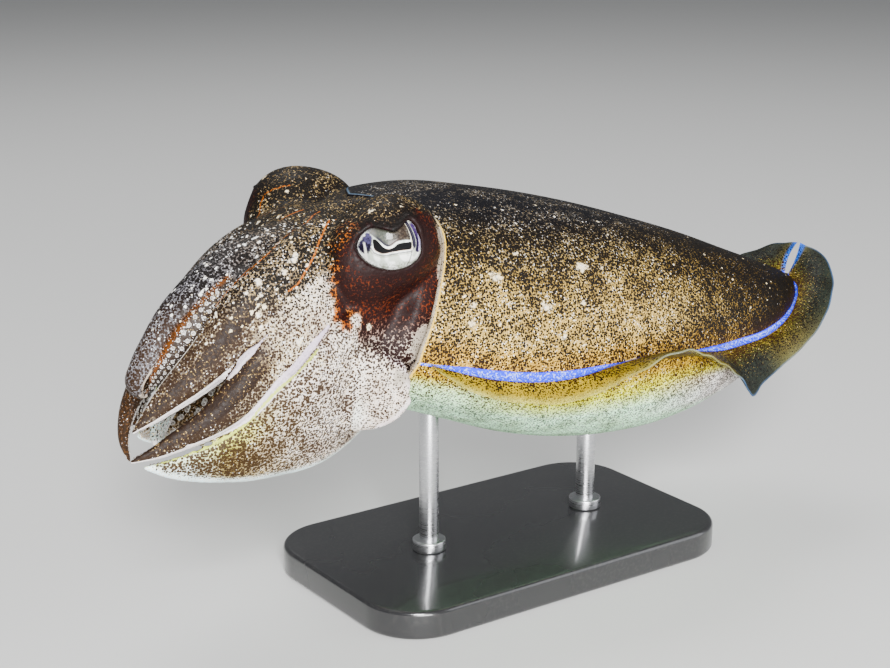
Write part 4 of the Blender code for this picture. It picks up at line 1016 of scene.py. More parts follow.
# Each arm's thin edge lines and its crest, which fade in some way along it.
pair = arm_of % 4
on_arm = (arm_share > 0.3) & (arm_of >= 0)
first, second, third, web = [(pair == k) & on_arm for k in range(4)]
far_arm = on_arm & ((arm_of == 4) | (arm_of == 5))
grow = MEMBRANE * step_between(0.30, 0.5, along_arm) * np.minimum(1, half_there / 4)
upper_rim = np.hypot(half_there + grow - across_mm, over_mm)
lower_rim = np.hypot(half_there + grow + across_mm, over_mm)
rim = np.where(first | second | web & (across_mm > 0), upper_rim, FAR)
rim = np.where(first, np.minimum(rim, lower_rim), rim)
rim = np.where(on_arm, rim - 0.28 + step_between(0.34, 0.26, along_arm) * 3, FAR)
thread = np.minimum(thread, np.maximum(rim, 0))
CRESTS = {0: (0.82, 0.57), 4: (-0.35, 0.93), 5: (0.35, 0.93)}
crest = np.full(len(points), FAR)
for k, (aside, up_there) in CRESTS.items():
    off = np.hypot(across_mm - aside * half_there, over_mm - up_there * thick_there) - 0.12
    crest = np.where(on_arm & (arm_of == k), off + step_between(0.42, 0.30, along_arm) * 3, crest)
thread = np.minimum(np.where(far_arm, FAR, thread), np.maximum(crest, 0))
DYE, PALE_EDGE, LEAF = (0.50, 0.19, 0.055), (0.88, 0.83, 0.76), (0.60, 0.66, 0.18)
dye = tones(np.where(on_arm, along_arm, 0), (0, DYE), (0.42, DYE), (0.62, PALE_EDGE), (1, PALE_EDGE))
dye = coated(dye, (first, (0.74, 0.64, 0.54)), (far_arm, (0.86, 0.80, 0.74)), (web, LEAF))

# The pale keels: along the lower edge of the second and third arms, and over cheek and arm.
low_edge = half_there + across_mm
keel_width = np.interp(along_arm, [0.12, 0.3, 0.45, 0.6, 0.85, 1.0], [1.3, 1.4, 1.5, 1.2, 0.7, 0.4])
starts = np.where(third, 0.40, 0.24)
keel = np.hypot(low_edge - keel_width * 0.55, np.maximum(0, -over_mm - 1)) / keel_width
keel = keel + 3 * step_between(starts + 0.05, starts - 0.03, along_arm)
keel = np.where(second | third, keel, FAR)
cheek_keel = line_distance(points, snapped(CHEEK_KEEL))
cheek_keel /= np.interp(x, [-99, -90, -70, -60], [0.3, 1.1, 1.5, 1.9])
keel = np.minimum(keel, cheek_keel + 0.7 * step_between(-72, -59, x))
arm_keel = line_distance(points, snapped(ARM_KEEL)) / 1.2
keel = np.minimum(keel, arm_keel + 0.75 * step_between(-83, -78.5, x))
RAIL, RAIL_TIP = (0.68, 0.60, 0.70), (0.88, 0.84, 0.82)
rail = tones(np.where(on_arm, along_arm, 0), (0, RAIL), (0.35, RAIL), (0.7, RAIL_TIP), (1, RAIL_TIP))

# The skin's tones: the head's by height, and the arms' from root to tip.
CHEEK, CREAM, BARK, COCOA = (0.88, 0.80, 0.72), (0.90, 0.92, 0.86), (0.27, 0.205, 0.12), (0.12, 0.08, 0.045)
MAROON, BLOOD, EMBER = (0.022, 0.005, 0.004), (0.16, 0.045, 0.02), (0.50, 0.20, 0.07)
PLUM_LID_SHADE = (0.018, 0.004, 0.006)
PEWTER, OLIVE, ICE, DOVE = (0.21, 0.205, 0.22), (0.34, 0.27, 0.11), (0.84, 0.98, 1.0), (0.84, 0.77, 0.70)
HAZEL, PEAT, WENGE, SAND = (0.34, 0.28, 0.20), (0.18, 0.15, 0.12), (0.11, 0.09, 0.07), (0.64, 0.56, 0.43)
ORAL, RUSSET, CURLED = (0.34, 0.25, 0.17), (0.17, 0.095, 0.045), (0.62, 0.72, 0.70)
STRIP_DARK, STRIP_EDGE = (0.075, 0.06, 0.05), (0.20, 0.09, 0.035)
FLAP_SKIN, FLAP_HEM = (0.86, 0.77, 0.68), (0.97, 0.88, 0.88)
CHEEK_INK, WEB_INK, BROWN_INK = (0.05, 0.03, 0.018), (0.06, 0.035, 0.012), (0.02, 0.008, 0.003)
neck_x = through(COLLAR, np.degrees(np.arctan2(np.abs(y), z - NECK_Z)))[:, 0]
head_skin = tones(z, (82, CREAM), (88, CHEEK), (112, CHEEK), (121, BARK), (140, BARK))
head_cover = np.interp(z, [82, 90, 110, 121, 126, 140], [0.2, 0.42, 0.42, 0.60, 0.76, 0.80])
head_frost = np.interp(z, [100, 120, 130], [0.9, 0.5, 0.15])
# For each pair of arms: the skin's tones, how far the pigment covers it, and its fleck's frost.
ARM_TONES = [
    ((BARK, PEWTER, PEWTER), (0.66, 0.64, 0.64), 0.95),
    ((BARK, HAZEL, PEAT), (0.66, 0.60, 0.66), 0.55),
    ((CHEEK, SAND, WENGE), (0.38, 0.50, 0.72), 0.5),
    ((CHEEK, DOVE, OLIVE), (0.44, 0.58, 0.66), 0.45),
]
arm_skin, arm_cover, arm_frost = np.zeros((len(points), 3)), np.full(len(points), 0.42), np.zeros(len(points))
for k, (shades, covers, pair_frost) in enumerate(ARM_TONES):
    mine = pair == k
    arm_skin[mine] = tones(along_arm[mine], *zip((0.05, 0.45, 0.75), shades))
    arm_cover[mine] = np.interp(along_arm[mine], [0.05, 0.45, 0.75], covers)
    arm_frost[mine] = pair_frost
high = step_between(-2, 5, z - np.interp(x, [-80, -60], [108, 116]))
cheek_side = (pair == 1) * (1 - high) * step_between(0.45, 0.2, along_arm)
brown = second * step_between(-0.12, 0.05, across_arm) * step_between(0.62, 0.45, across_arm)
brown = brown + third * step_between(0.15, 0.4, across_arm)
brown = brown * step_between(0.34, 0.5, along_arm)
ice_width = np.interp(along_arm, [0, 0.3, 0.6, 1], [3.4, 4.2, 4.4, 2.4])
oral = step_between(-0.25, -0.6, over_arm) * on_arm
curled = (arm_of == 6) * step_between(0.70, 0.80, along_arm) * on_arm
arm_skin = coated(
    arm_skin, (cheek_side, CHEEK), (brown, COCOA),
    (web * step_between(0.5, 0.75, along_arm) * step_between(0.4, 0.95, across_arm), LIME),
    (web * step_between(0.72, 0.88, along_arm) * 0.6, ICE),
    (web * step_between(ice_width + 1, ice_width * 0.4, low_edge), ICE), (oral * 0.8, ORAL),
    (far_arm * step_between(0.25, 0.45, along_arm), RUSSET), (curled, CURLED),
)
arm_cover = arm_cover - cheek_side * 0.2 + brown * 0.12
arm_cover = np.where(web, arm_cover * step_between(ice_width * 0.3, ice_width + 1.4, low_edge), arm_cover)
arm_cover = arm_cover * (1 - 0.6 * curled)
skin = mixed(arm_share, head_skin, arm_skin)
cover = head_cover * (1 - arm_share) + arm_cover * arm_share

# The strip of suckers is dark with a rusty upper edge, and the cheek flaps are pale with a hem.
gone, wide, size, _, across, _ = beside(STRIP, 60)
strip = step_between(1.5, 1.0, np.linalg.norm(gone, axis=1) / (size[:, 0] + 0.3))
above = across * np.sign(wide[:, 2]) / size[:, 0]
skin = coated(skin, (strip, STRIP_DARK), (strip * step_between(0.55, 0.9, above), STRIP_EDGE))
cover = cover * (1 - 0.6 * strip)
thread, keel = [np.where(strip > 0.3, FAR, marking) for marking in (thread, keel)]
for flap in FLAPS:
    _, _, size, share, across, over = beside(flap, 60)
    edge_gap = size[:, 0] - np.abs(across)
    on_flap = step_between(2.5, 1.2, np.abs(over) - size[:, 1]) * step_between(-1, 0.5, edge_gap)
    on_flap = on_flap * step_between(-53, -47, x)
    hem_gap = np.minimum(edge_gap + 9 * step_between(-44, -50, x), (1 - share) * 18)
    hem = on_flap * step_between(2.4, 0.8, hem_gap)
    skin = coated(skin, (on_flap, FLAP_SKIN), (hem, FLAP_HEM))
    cover = cover * (1 - on_flap) + on_flap * 0.42 * (1 - hem)

# The patch has a ragged edge with orange in it, and thins out below. Round the lids its maroon is darkened to
# plum, as painted shade.
ragged = np.array([noise.noise(Vector(p) * 0.45) + 0.5 * noise.noise(Vector(p) * 1.1) for p in points])
edge = patch + ragged * 1.5
low_part = step_between(107, 96, z)
stain = step_between(-1.2, 0.8 + 3.0 * low_part, edge) * flank
scatter = step_between(-4.5 * low_part - 0.5, 1.5, edge) * flank
glow = step_between(1.1, 0.2, np.abs(edge - 0.2)) * flank * step_between(-46, -54, x) * (1 - low_part)
lid_gap = np.full(len(points), 99.0)
for side in (-1, 1):
    middle, back, up, out = eye_frame(side)
    u, v, w = (points - middle) @ back, (points - middle) @ up, (points - middle) @ out
    this_gap = -inside_outline(u, v, closed_curve(LID_OUTLINE, 90))
    lid_gap = np.where(w > 0, np.minimum(lid_gap, this_gap), lid_gap)
# Painted shade: the skin within a few millimetres of each lid opening is darkened to near-black plum.
plum_lid_shade = step_between(4.5, 1.0, lid_gap) * flank
# Just before the collar the neck is painted grey: its pale skin, with painted shade from the collar's lip
# laid over it.
neck = step_between(neck_x - 6.5, neck_x - 5.2, x) * step_between(0.6, -0.6, patch)
neck = neck * step_between(86, 90, z) * step_between(131, 127, z)
skin = coated(
    skin, (stain * (1 - 0.75 * low_part), BLOOD), (glow, EMBER), (plum_lid_shade * 0.95, PLUM_LID_SHADE), (neck * 0.9, COLLAR_GREY),
)
cover = cover * (1 - scatter) + scatter * (0.68 + 0.10 * stain - 0.04 * low_part)
cover = cover * (1 - plum_lid_shade) + plum_lid_shade * 0.85
cover = cover * (1 - neck * 0.75)
ink = np.tile(SOOT, (len(points), 1))
ink = coated(
    ink, (step_between(118, 106, z) * (1 - scatter), CHEEK_INK),
    (web * step_between(0.3, 0.6, along_arm) * (1 - scatter), WEB_INK), (brown * 0.8, BROWN_INK),
    (scatter, MAROON),
)
gleam = 0.34 + 0.10 * step_between(112, 124, z) + 0.08 * arm_share
gleam = gleam * (1 - 0.35 * (pair == 0) * arm_share) * (1 - 0.85 * stain) * (1 - 0.9 * plum_lid_shade) * (1 - neck)
frost = (head_frost * (1 - arm_share) + arm_share * arm_frost) * (1 - brown) * (1 - scatter)
HEAD_SPOTS = [
    (-72.1, 14.7, 124.3, 0.9), (-65.8, 24.4, 123.8, 1.0), (-64.6, 24.0, 125.0, 0.6),
    (-69.2, 25.5, 121.2, 0.8), (-76.1, 24.3, 119.0, 0.8), (-78.1, 27.0, 111.3, 0.9),
    (-76.2, 26.9, 113.1, 0.8), (-69.1, 32.2, 103.8, 1.1), (-64.7, 35.3, 98.3, 1.1),
    (-63.2, 34.8, 99.4, 0.6), (-47.0, 31.0, 104.0, 1.0), (-48.6, 30.8, 105.4, 0.6),
    (-42.4, 24.6, 135.5, 0.6), (-44, 29, 134.8, 0.9), (-38.9, 30, 136.5, 0.6), (-36.7, 31.5, 135.4, 0.9),
    (-41.1, 30.9, 134.7, 0.5), (-43.4, 17, 132.6, 0.6), (-41.1, 27.6, 136.1, 0.7), (-33.4, 30.4, 135.6, 0.5),
    (-57, 12, 129.8, 0.7), (-62, 12.5, 129.4, 0.9), (-50, 13, 131, 0.8), (-66, 13, 128.2, 0.7),
]
SPECKS = 380
top = (z > 104) & (scatter < 0.05) & (plum_lid_shade < 0.05) & (neck < 0.1) & (over_arm > 0)
spots = spot_distance(points, *all_spots(points, top, SPECKS, 0.2, 0.55, HEAD_SPOTS), 1.15)
paint(
    head, skin=skin, ink=ink, cover=cover, gleam=gleam, frost=frost, streak=np.full(len(points), 0.15),
    spots=spots, thread=thread, dye=dye, keel=keel, rail=rail,
)

# The cuts leave an empty place in the list of finishes, which the skin would use first.
head.data.materials.clear()
head.data.materials.append(hide_finish("head_hide", keels=True, rich=1.08))
arm_nodes = [f"arm_{name}_{part}" for name in ARMS for part in ("base", "tip")]
finish_piece(head, "head_skin", "head", "funnel", *arm_nodes)

# Suckers stand in four rows on the inner face of every arm, smaller and smaller to its tip.
# Each is a soft cup on a short stalk, cream with a dark middle.
CUP = [(0.70, -0.35), (1.0, 0.35), (0.86, 0.72), (0.50, 0.45), (0.0, 0.35)]
CUP_SIDES = 10
LANES, LANE_STEPS = (-0.78, -0.26, 0.26, 0.78), 400
STRIP_LANE, STRIP_SUCKER = 0.42, 0.26
CUP_PALE, CUP_DARK, CUP_RIM = (0.62, 0.60, 0.56), (0.34, 0.31, 0.28), (0.06, 0.04, 0.035)
CUP_FLOOR = (0.5, 0.45, 0.42)


def sucker_rows(name):
    """Place, facing and radius of every sucker on an arm."""
    place, wide, out, size, _, length = arm_line(ARMS[name], LANE_STEPS)
    last = LANE_STEPS - 1
    at, odd = 0.2, 0
    while at < 0.985:
        i = int(at * last)
        half, _, thin = size[i]
        radius = min(max(0.105 * half, 0.24), 0.85)
        lean = 0.42 * max(half - 8.0, 0.0) * np.sign(wide[i, 2]) if name.endswith("4") else 0.0
        reach = min(half, 7.5) * 0.8
        for k, lane in enumerate(LANES):
            slot = min(i + (int(radius * 1.1 / length * last) if (k + odd) % 2 else 0), last)
            across = lean + lane * reach
            depth = thin * math.sqrt(max(0.02, 1 - min(abs(across) / half, 0.99) ** 2))
            foot = place[slot] + wide[slot] * across - out[slot] * depth
            facing = wide[slot] * (across / half**2 * thin**2 / max(depth, 0.5) * 0.7) - out[slot]
            if skin_depth(foot) > 0.5:
                yield foot, facing / np.linalg.norm(facing), radius
        at += 2.25 * radius / length
        odd += 1


def strip_suckers():
    """The two rows that show on the strip, larger for their width than the others."""
    place, wide, out, size, _, length = arm_line(STRIP, LANE_STEPS)
    at, odd = 0.12, 0
    while at < 0.98:
        i = int(at * (LANE_STEPS - 1))
        half, thick, _ = size[i]
        radius = STRIP_SUCKER * half
        lane = -STRIP_LANE if odd % 2 else STRIP_LANE
        foot = place[i] + wide[i] * lane * half + out[i] * thick * 0.86
        yield foot, out[i], radius
        at += 1.8 * radius / length
        odd += 1


def cups(places):
    """One mesh of cups set on their places."""
    turn = np.linspace(0, 2 * math.pi, CUP_SIDES, endpoint=False)
    verts, faces, rims = [], [], []
    for foot, facing, radius in places:
        start = len(verts)
        side = np.cross(facing, (0.3, 0.2, 0.93))
        side /= np.linalg.norm(side)
        other = np.cross(facing, side)
        circle = np.outer(np.cos(turn), side) + np.outer(np.sin(turn), other)
        for reach, height in CUP[:-1]:
            verts.extend(foot + radius * (reach * circle + height * facing))
            rims.extend([height] * CUP_SIDES)
        verts.append(foot + radius * CUP[-1][1] * facing)
        rims.append(-1.0)
        for band in range(len(CUP) - 2):
            for k in range(CUP_SIDES):
                j = (k + 1) % CUP_SIDES
                low, high = start + band * CUP_SIDES, start + (band + 1) * CUP_SIDES
                faces.append((low + k, low + j, high + j, high + k))
        last = start + (len(CUP) - 2) * CUP_SIDES
        for k in range(CUP_SIDES):
            faces.append((last + k, last + (k + 1) % CUP_SIDES, len(verts) - 1))
    mesh = bpy.data.meshes.new("suckers")
    mesh.from_pydata([(v + BODY_PLACE) * MM for v in verts], [], faces)
    made = bpy.data.objects.new("suckers", mesh)
    bpy.context.collection.objects.link(made)
    paint(made, rim=rims)
    return made


suckers = cups([place for name in ARMS for place in sucker_rows(name)] + list(strip_suckers()))
cup_finish, shade, surface = new_finish("sucker_cup")
rim = shade.stored("rim")
colour = shade.grain(700).fade(0.3, 0.7).between(CUP_PALE, CUP_DARK)
colour = colour.over(rim.fade(0.55, 0.1) * 0.85, CUP_RIM).over(rim.fade(-0.2, -0.8) * 0.5, CUP_FLOOR)
set_surface(shade, surface, {"Base Color": colour}, roughness=0.35, coat_weight=0.4, coat_roughness=0.1)
suckers.data.materials.append(cup_finish)
finish_piece(suckers, "arm_skin")

# The eyes are glossy balls set deep under the lids: a silvery iris, a tan flap that hangs over
# the pupil, and the cuttlefish's black, W-shaped pupil, sunk a little into the iris.
EYE_MARKS = {
    "pupil": [
        (-6.70, 2.60), (-6.72, 1.35), (-6.40, 0.15), (-5.50, -0.45), (-4.38, -0.70), (-2.47, -0.35),
        (0.16, 0.02), (2.0, 0.05), (3.25, 0.15), (3.45, 1.10), (3.30, 1.68), (1.79, 1.70), (0.5, 1.65),
        (-0.45, 1.45), (-1.65, 0.62), (-3.24, 0.10), (-4.50, 0.66), (-5.20, 1.45), (-5.78, 2.15),
        (-6.25, 2.62),
    ],
    "flap": [
        (-7.6, 4.4), (-6.4, 3.3), (-5.2, 2.25), (-4.2, 1.3), (-3.2, 0.95), (-2.2, 1.25), (-1.0, 2.1),
        (0.3, 2.4), (1.7, 2.5), (3.1, 2.3), (3.25, 3.6), (2.9, 5.0), (2.5, 6.2), (1.5, 9.0), (-3, 9.0),
        (-8, 8.0), (-8.4, 6.0),
    ],
    "front panel": [
        (-9.9, 0.3), (-9.6, 1.6), (-9.0, 2.8), (-8.2, 4.0), (-7.5, 4.2), (-7.1, 3.0), (-7.3, 1.6),
        (-7.5, 0.5), (-7.9, -0.7), (-8.5, -1.3), (-9.3, -1.1), (-9.8, -0.4),
    ],
    "gap": [
        (2.5, 7.6), (3.2, 6.4), (3.9, 4.8), (4.5, 3.0), (4.75, 1.2), (4.5, 0.2), (3.8, 1.2), (3.6, 3.0),
        (3.1, 4.8), (2.4, 6.4),
    ],
    "crescent": [
        (3.5, 7.9), (4.7, 6.6), (5.6, 4.8), (6.3, 2.6), (6.5, 0.5), (6.0, -1.2), (4.9, -0.9), (5.1, 0.6),
        (5.1, 2.2), (4.5, 4.4), (3.7, 6.2), (3.1, 7.4),
    ],
}
FLAP_MOTTLE, PUPIL_BLACK = (0.012, 0.009, 0.008), (0.0005, 0.0005, 0.001)
OLIVE_LINE, INDIGO, LILAC = (0.14, 0.14, 0.055), (0.008, 0.006, 0.016), (0.055, 0.048, 0.11)
SHINE, HORN = (0.66, 0.58, 0.84), (0.84, 0.84, 0.74)
EYE_CREASE_SHADE = [(3.6, -0.3, 0), (3.45, -1.7, 0), (3.1, -3.1, 0), (2.3, -4.9, 0)]
CREAM_LINE = [(2.0, 6.9, 0), (2.75, 5.4, 0), (3.3, 3.6, 0), (3.6, 2.1, 0), (3.72, 0.7, 0), (3.7, -0.4, 0)]
SHINE_LINE = [(4.3, 7.2, 0), (5.1, 5.8, 0), (5.75, 4.2, 0), (6.15, 2.4, 0), (6.25, 0.7, 0), (6.0, -0.8, 0)]


def make_eye(name, side):
    middle, back, up, out = eye_frame(side)
    eye, ball = unit_ball(name, 288, 170)
    u, v, w = EYE_RADIUS * ball.T
    inside = {
        mark: np.where(w > 0, inside_outline(u, v, closed_curve(outline, 90)), -FAR)
        for mark, outline in EYE_MARKS.items()
    }
    pupil, flap = inside["pupil"], inside["flap"]
    hollow = step_between(-0.3, 0.1, pupil)
    rise = step_between(-0.1, 0.6, flap) * (1 - hollow)
    sunk = step_between(-0.1, 0.5, inside["gap"])
    radius = EYE_RADIUS - 0.28 - 0.18 * hollow + 0.24 * rise - 0.25 * sunk
    spoke = (np.outer(u, back) + np.outer(v, up) + np.outer(w, out)) / EYE_RADIUS
    places = middle + spoke * radius[:, None]
    move_points(eye, places)
    face_outwards(eye)
    grit = np.array([noise.noise(Vector(p) * 1.9) + 0.7 * noise.noise(Vector(p) * 4.3) for p in places])
    drift = np.array([noise.noise(Vector(p) * 0.55) for p in places])

    # The silvery iris, with an orange and a dark line under the pupil, and at its back a crease that is only
    # painted, as a dark line of painted shade.
    flat_places = np.column_stack([u, v, np.zeros(len(u))])
    low = step_between(0.9, 0.2, v)
    iris = coated(
        np.tile((0.92, 0.94, 0.90), (len(u), 1)),
        (step_between(-0.05, 0.35, drift) * 0.6, (0.22, 0.27, 0.18)),
        (step_between(-2.6, -4.6, v) * step_between(-0.2, 0.4, grit) * 0.75, (0.13, 0.125, 0.08)),
        (step_between(0.42, 0.22, -pupil) * low * 0.8, (0.30, 0.11, 0.02)),
        (step_between(0.30, 0.08, np.abs(-pupil - 0.85 - 0.12 * grit)) * low * 0.85, (0.035, 0.032, 0.045)),
        (step_between(0.28, 0.08, np.abs(-pupil - 1.3)) * step_between(0.4, -0.3, v) * 0.5, OLIVE_LINE),
        # Painted shade of a crease: a dark line at the back of the iris.
        (step_between(0.26, 0.06, line_distance(flat_places, EYE_CREASE_SHADE)) * 0.9, (0.04, 0.035, 0.025)),
    )

    # The lilac panel in front, with a pale streak in it, and the tan flap that hangs from above, its top
    # darkened by painted shade from the upper lid.
    lilac = mixed(step_between(-0.3, 0.5, grit + (v - 2.0) * 0.3), INDIGO, LILAC)
    streak = np.abs(u + 8.65 + 0.12 * v) - 0.10 * step_between(1.0, -2.0, v)
    hanging = tones(
        u, (-7.4, (0.20, 0.20, 0.20)), (-5.6, (0.06, 0.066, 0.055)), (-3.5, (0.036, 0.042, 0.03)),
        (-1.2, (0.034, 0.026, 0.016)), (0.6, (0.034, 0.021, 0.012)), (3.2, (0.020, 0.015, 0.009)),
    )
    low_flap = step_between(1.0, 0.35, flap)
    hanging = coated(
        hanging, (step_between(0.0, 0.35, grit) * step_between(-3.5, 0.5, u) * 0.85, (0.012, 0.009, 0.008)),
        (step_between(-0.1, -0.5, grit) * 0.45, (0.14, 0.12, 0.09)),
        (low_flap * step_between(-6.3, -5.4, u) * step_between(-2.4, -3.4, u) * 0.9, (0.012, 0.010, 0.024)),
        (low_flap * step_between(-3.2, -2.2, u) * step_between(0.4, -1.0, u) * 0.6, (0.12, 0.085, 0.08)),
        # Painted shade: the flap's top, under the upper lid, is darkened.
        (step_between(4.4, 6.2, v) * 0.7, (0.03, 0.02, 0.014)),
    )

    # The crescent behind, dark lilac with a line of shine, and the cream line along its gap.
    shine = line_distance(flat_places, SHINE_LINE) + 0.12 * grit
    outer = np.hypot(u + 2.0, v - 0.5)
    bow = mixed(step_between(7.6, 8.1, outer + 0.3 * grit), (0.012, 0.008, 0.026), (0.05, 0.024, 0.11))
    bow = coated(
        bow, (step_between(0.30, 0.08, shine), SHINE), (step_between(6.2, 7.2, v), HORN),
    )
    tint = coated(
        iris, (step_between(-0.35, 0.05, inside["front panel"] + 0.25 * grit), lilac),
        (step_between(0.28, 0.10, streak) * step_between(2.0, 1.4, v) * 0.9, (0.86, 0.84, 0.76)),
        (step_between(-0.05, 0.2, flap), hanging),
        (step_between(-0.35, -0.1, inside["gap"]), (0.008, 0.006, 0.018)),
        (step_between(0.20, 0.06, line_distance(flat_places, CREAM_LINE)) * 0.95, (0.84, 0.78, 0.60)),
        (step_between(-0.25, 0.0, inside["crescent"]), bow),
    )
    paint(eye, tint=tint, pupil=pupil, mottled=step_between(-0.2, 0.2, flap) * step_between(-3, 1, u))
    return eye


eye_finish, shade, surface = new_finish("eye_gloss")
fine, cloud = shade.grain(1900, 2.0), shade.grain(330, 3.0)
black = shade.stored("pupil").fade(-0.28, -0.12)
mottled = fine.fade(0.42, 0.66) * shade.stored("mottled") * 0.7
colour = shade.stored("tint", "Color").over(mottled, FLAP_MOTTLE).over(black, PUPIL_BLACK)
normal = shade.bump((cloud + fine * 0.6) * (1 - black), 0.25, 0.0003)
links = {"Base Color": colour, "Normal": normal, "Coat Weight": black.fade(0, 1, 0.35, 0.02)}
links["Roughness"] = black.fade(0, 1, 0.35, 0.9)
set_surface(shade, surface, links, coat_roughness=0.04, specular_ior_level=0.2)
for side, name in ((-1, "eye_left"), (1, "eye_right")):
    eye = make_eye(name + "_ball", side)
    eye.data.materials.append(eye_finish)
    finish_piece(eye, "eye", name)

# The mouth sits in the middle of the arms: a ring of puckered lips round the tip of the beak.
MOUTH_CENTRE, MOUTH_SIZE = np.array([-72.0, 0.0, 97.0]), np.array([7.76, 7.76, 8.245])
LIP_PINK, LIP_BROWN, BEAK = (0.52, 0.36, 0.29), (0.34, 0.20, 0.15), (0.02, 0.012, 0.008)
mouth, ball = unit_ball("lips_and_beak", 96, 64)
ball = ball[:, [2, 1, 0]] * (-1, 1, 1)
turn = np.arctan2(ball[:, 1], ball[:, 2])
out = np.hypot(ball[:, 1], ball[:, 2])
front = ball[:, 0] < 0
pucker = 0.10 * np.cos(7 * turn) * np.exp(-((out - 0.5) / 0.22) ** 2) * front
lip = 0.14 * np.exp(-((out - 0.45) / 0.14) ** 2) * front - 0.35 * np.exp(-((out / 0.25) ** 2)) * front
beak = 0.42 * np.exp(-((out / 0.10) ** 2)) * front
move_points(mouth, MOUTH_CENTRE + ball * MOUTH_SIZE * (1 + pucker + lip + beak)[:, None])
face_outwards(mouth)
paint(mouth, beak=np.where(front, out, 1.0))
lip_finish, shade, surface = new_finish("lip_flesh")
colour = shade.grain(500, 3.0).fade(0.35, 0.65).between(LIP_PINK, LIP_BROWN)
colour = colour.over(shade.stored("beak").fade(0.26, 0.18), BEAK)
normal = shade.bump(shade.grain(800, 3.0), 0.5, 0.0004)
set_surface(shade, surface, {"Base Color": colour, "Normal": normal}, roughness=0.35, coat_weight=0.5)
mouth.data.materials.append(lip_finish)
finish_piece(mouth, "mouth", "mouth")

# The stand: a black lacquered plinth with softened edges, and two turned steel rods that are
# let into it through small collars and reach up to the belly.
low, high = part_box("stand_base")
PLINTH_CORNER, PLINTH_EDGE = 0.018, 0.0015
ROD_RADIUS, COLLAR_RADIUS, COLLAR_HEIGHT, ROD_EDGE = 0.003, 0.0052, 0.0035, 0.0005
LACQUER, LACQUER_DUST = (0.012, 0.012, 0.013), (0.022, 0.021, 0.021)
STEEL_BRIGHT, STEEL_DULL = (0.60, 0.60, 0.61), (0.52, 0.52, 0.54)


def bevel_edges(piece, chosen, width, segments):
    """Rounds the edges of a piece that a test picks."""
    pick(piece)
    bpy.ops.object.mode_set(mode="EDIT")
    bpy.ops.mesh.select_mode(type="EDGE")
    bm = bmesh.from_edit_mesh(piece.data)
    for edge in bm.edges:
        edge.select_set(chosen(edge))
    bmesh.update_edit_mesh(piece.data)
    bpy.ops.mesh.bevel(offset=width, segments=segments, profile=0.5)
    bpy.ops.object.mode_set(mode="OBJECT")


def rise_of(edge):
    return abs(edge.verts[0].co.z - edge.verts[1].co.z)


def turns_level(edge):
    faces = edge.link_faces
    return len(faces) == 2 and abs(faces[0].normal.z - faces[1].normal.z) > 0.5


bpy.ops.object.select_all(action="DESELECT")
bpy.ops.mesh.primitive_cube_add(size=1, location=(low + high) / 2, scale=high - low)
plinth = bpy.context.object
plinth.name = "plinth"
bpy.ops.object.transform_apply(location=True, rotation=True, scale=True)
bevel_edges(plinth, lambda edge: rise_of(edge) > MM, PLINTH_CORNER, 24)
bevel_edges(plinth, turns_level, PLINTH_EDGE, 5)
lacquer, shade, surface = new_finish("black_lacquer")
colour = shade.grain(900, 3.0).fade(0.45, 0.7).between(LACQUER, LACQUER_DUST)
normal = shade.bump(shade.grain(60, 2.0), 0.06, 0.0006)
rough = shade.grain(25, 3.0).fade(0.3, 0.7, 0.22, 0.34)
links = {"Base Color": colour, "Normal": normal, "Roughness": rough}
set_surface(shade, surface, links, coat_weight=0.6, coat_roughness=0.08)
plinth.data.materials.append(lacquer)
finish_piece(plinth, "stand_base", "stand_base")
plinth.data.set_sharp_from_angle(angle=math.radians(40))

steel, shade, surface = new_finish("turned_steel")
turned = shade.grain(240, 3.0, (0.3, 0.3, 14.0))
colour = turned.fade(0.35, 0.65).between(STEEL_BRIGHT, STEEL_DULL)
normal = shade.bump(turned, 0.05, 0.00003)
links = {"Base Color": colour, "Normal": normal, "Roughness": turned.fade(0.3, 0.7, 0.24, 0.34)}
set_surface(shade, surface, links, metallic=1.0)
for node in ("stand_rod_front", "stand_rod_rear"):
    foot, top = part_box(node)
    middle = (foot + top) / 2
    bpy.ops.object.select_all(action="DESELECT")
    bpy.ops.mesh.primitive_cylinder_add(vertices=64, radius=ROD_RADIUS, depth=top.z - foot.z, location=middle)
    rod = bpy.context.object
    rod.name = node + "_turned"
    ring_middle = (middle.x, 0, high.z + COLLAR_HEIGHT / 2)
    bpy.ops.mesh.primitive_cylinder_add(
        vertices=64, radius=COLLAR_RADIUS, depth=COLLAR_HEIGHT, location=ring_middle,
    )
    rod.select_set(True)
    bpy.context.view_layer.objects.active = rod
    bpy.ops.object.join()
    bpy.ops.object.transform_apply(location=True, rotation=True, scale=True)
    bevel_edges(rod, lambda edge: rise_of(edge) < 1e-5, ROD_EDGE, 3)
    rod.data.materials.append(steel)
    finish_piece(rod, "stand_rod", node)
    rod.data.set_sharp_from_angle(angle=math.radians(50))

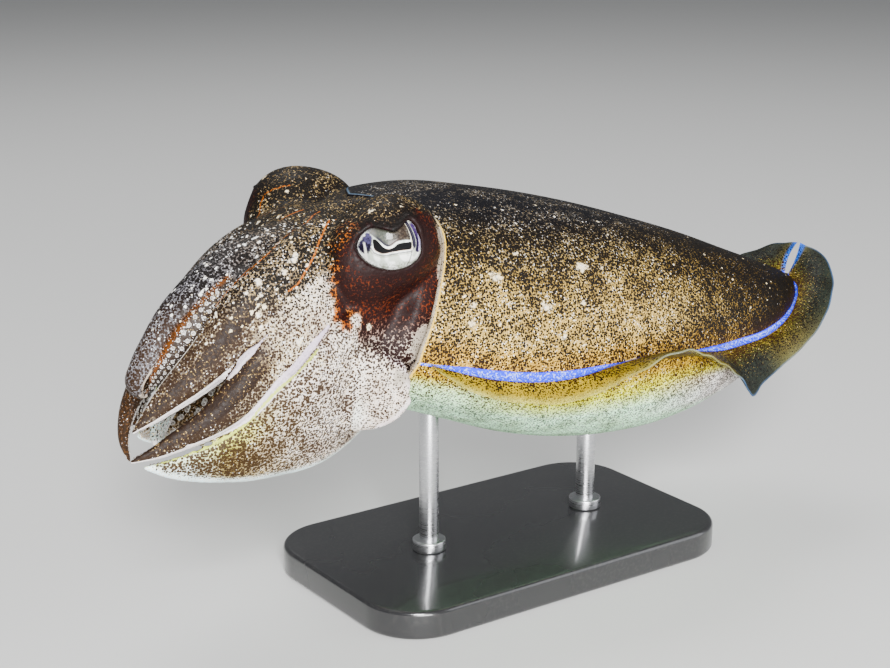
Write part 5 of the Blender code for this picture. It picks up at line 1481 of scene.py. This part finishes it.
# A plain pale table with soft studio lamps, seen from the photograph's place.
bpy.ops.object.select_all(action="DESELECT")
bpy.ops.mesh.primitive_plane_add(size=8, location=(0, 0, 0))
table = bpy.context.object
table.name = "table"
table_finish, shade, surface = new_finish("pale_table")
TABLE_TONE = (0.62, 0.62, 0.61, 1.0)
set_surface(shade, surface, base_color=TABLE_TONE, roughness=0.7)
table.data.materials.append(table_finish)

CAMERA_TARGET, CAMERA_DISTANCE = Vector((-0.022, 0.0, 0.077)), 0.52
CAMERA_TURN, CAMERA_RISE = math.radians(35), math.radians(16)
LENS, SENSOR = 70.0, 36.0
AIR_TONE, AIR_STRENGTH = (0.80, 0.82, 0.85, 1.0), 0.26


def lamp(name, place, size, power, tint=(1.0, 1.0, 1.0)):
    """A soft square lamp that faces the animal."""
    light = bpy.data.lights.new(name, "AREA")
    light.size, light.energy, light.color = size, power, tint
    made = bpy.data.objects.new(name, light)
    made.location = place
    made.rotation_euler = (CAMERA_TARGET - Vector(place)).to_track_quat("-Z", "Y").to_euler()
    bpy.context.scene.collection.objects.link(made)


lamp("key", (-0.62, -1.05, 0.72), 0.4, 42.0)
lamp("low", (-0.40, -1.0, 0.14), 0.5, 22.0)
lamp("fill", (0.9, -0.8, 0.5), 0.9, 8.0, (0.95, 0.97, 1.0))
lamp("top", (0.1, 0.6, 1.2), 0.7, 10.0)
world = bpy.data.worlds.new("studio")
world.use_nodes = True
air = world.node_tree.nodes["Background"]
air.inputs["Color"].default_value = AIR_TONE
air.inputs["Strength"].default_value = AIR_STRENGTH
bpy.context.scene.world = world
camera = bpy.data.cameras.new("camera")
camera.lens, camera.sensor_width = LENS, SENSOR
eye_point = bpy.data.objects.new("camera", camera)
level = math.cos(CAMERA_RISE)
away = Vector((-math.sin(CAMERA_TURN) * level, -math.cos(CAMERA_TURN) * level, math.sin(CAMERA_RISE)))
eye_point.location = CAMERA_TARGET + away * CAMERA_DISTANCE
eye_point.rotation_euler = away.to_track_quat("Z", "Y").to_euler()
bpy.context.scene.collection.objects.link(eye_point)
bpy.context.scene.camera = eye_point
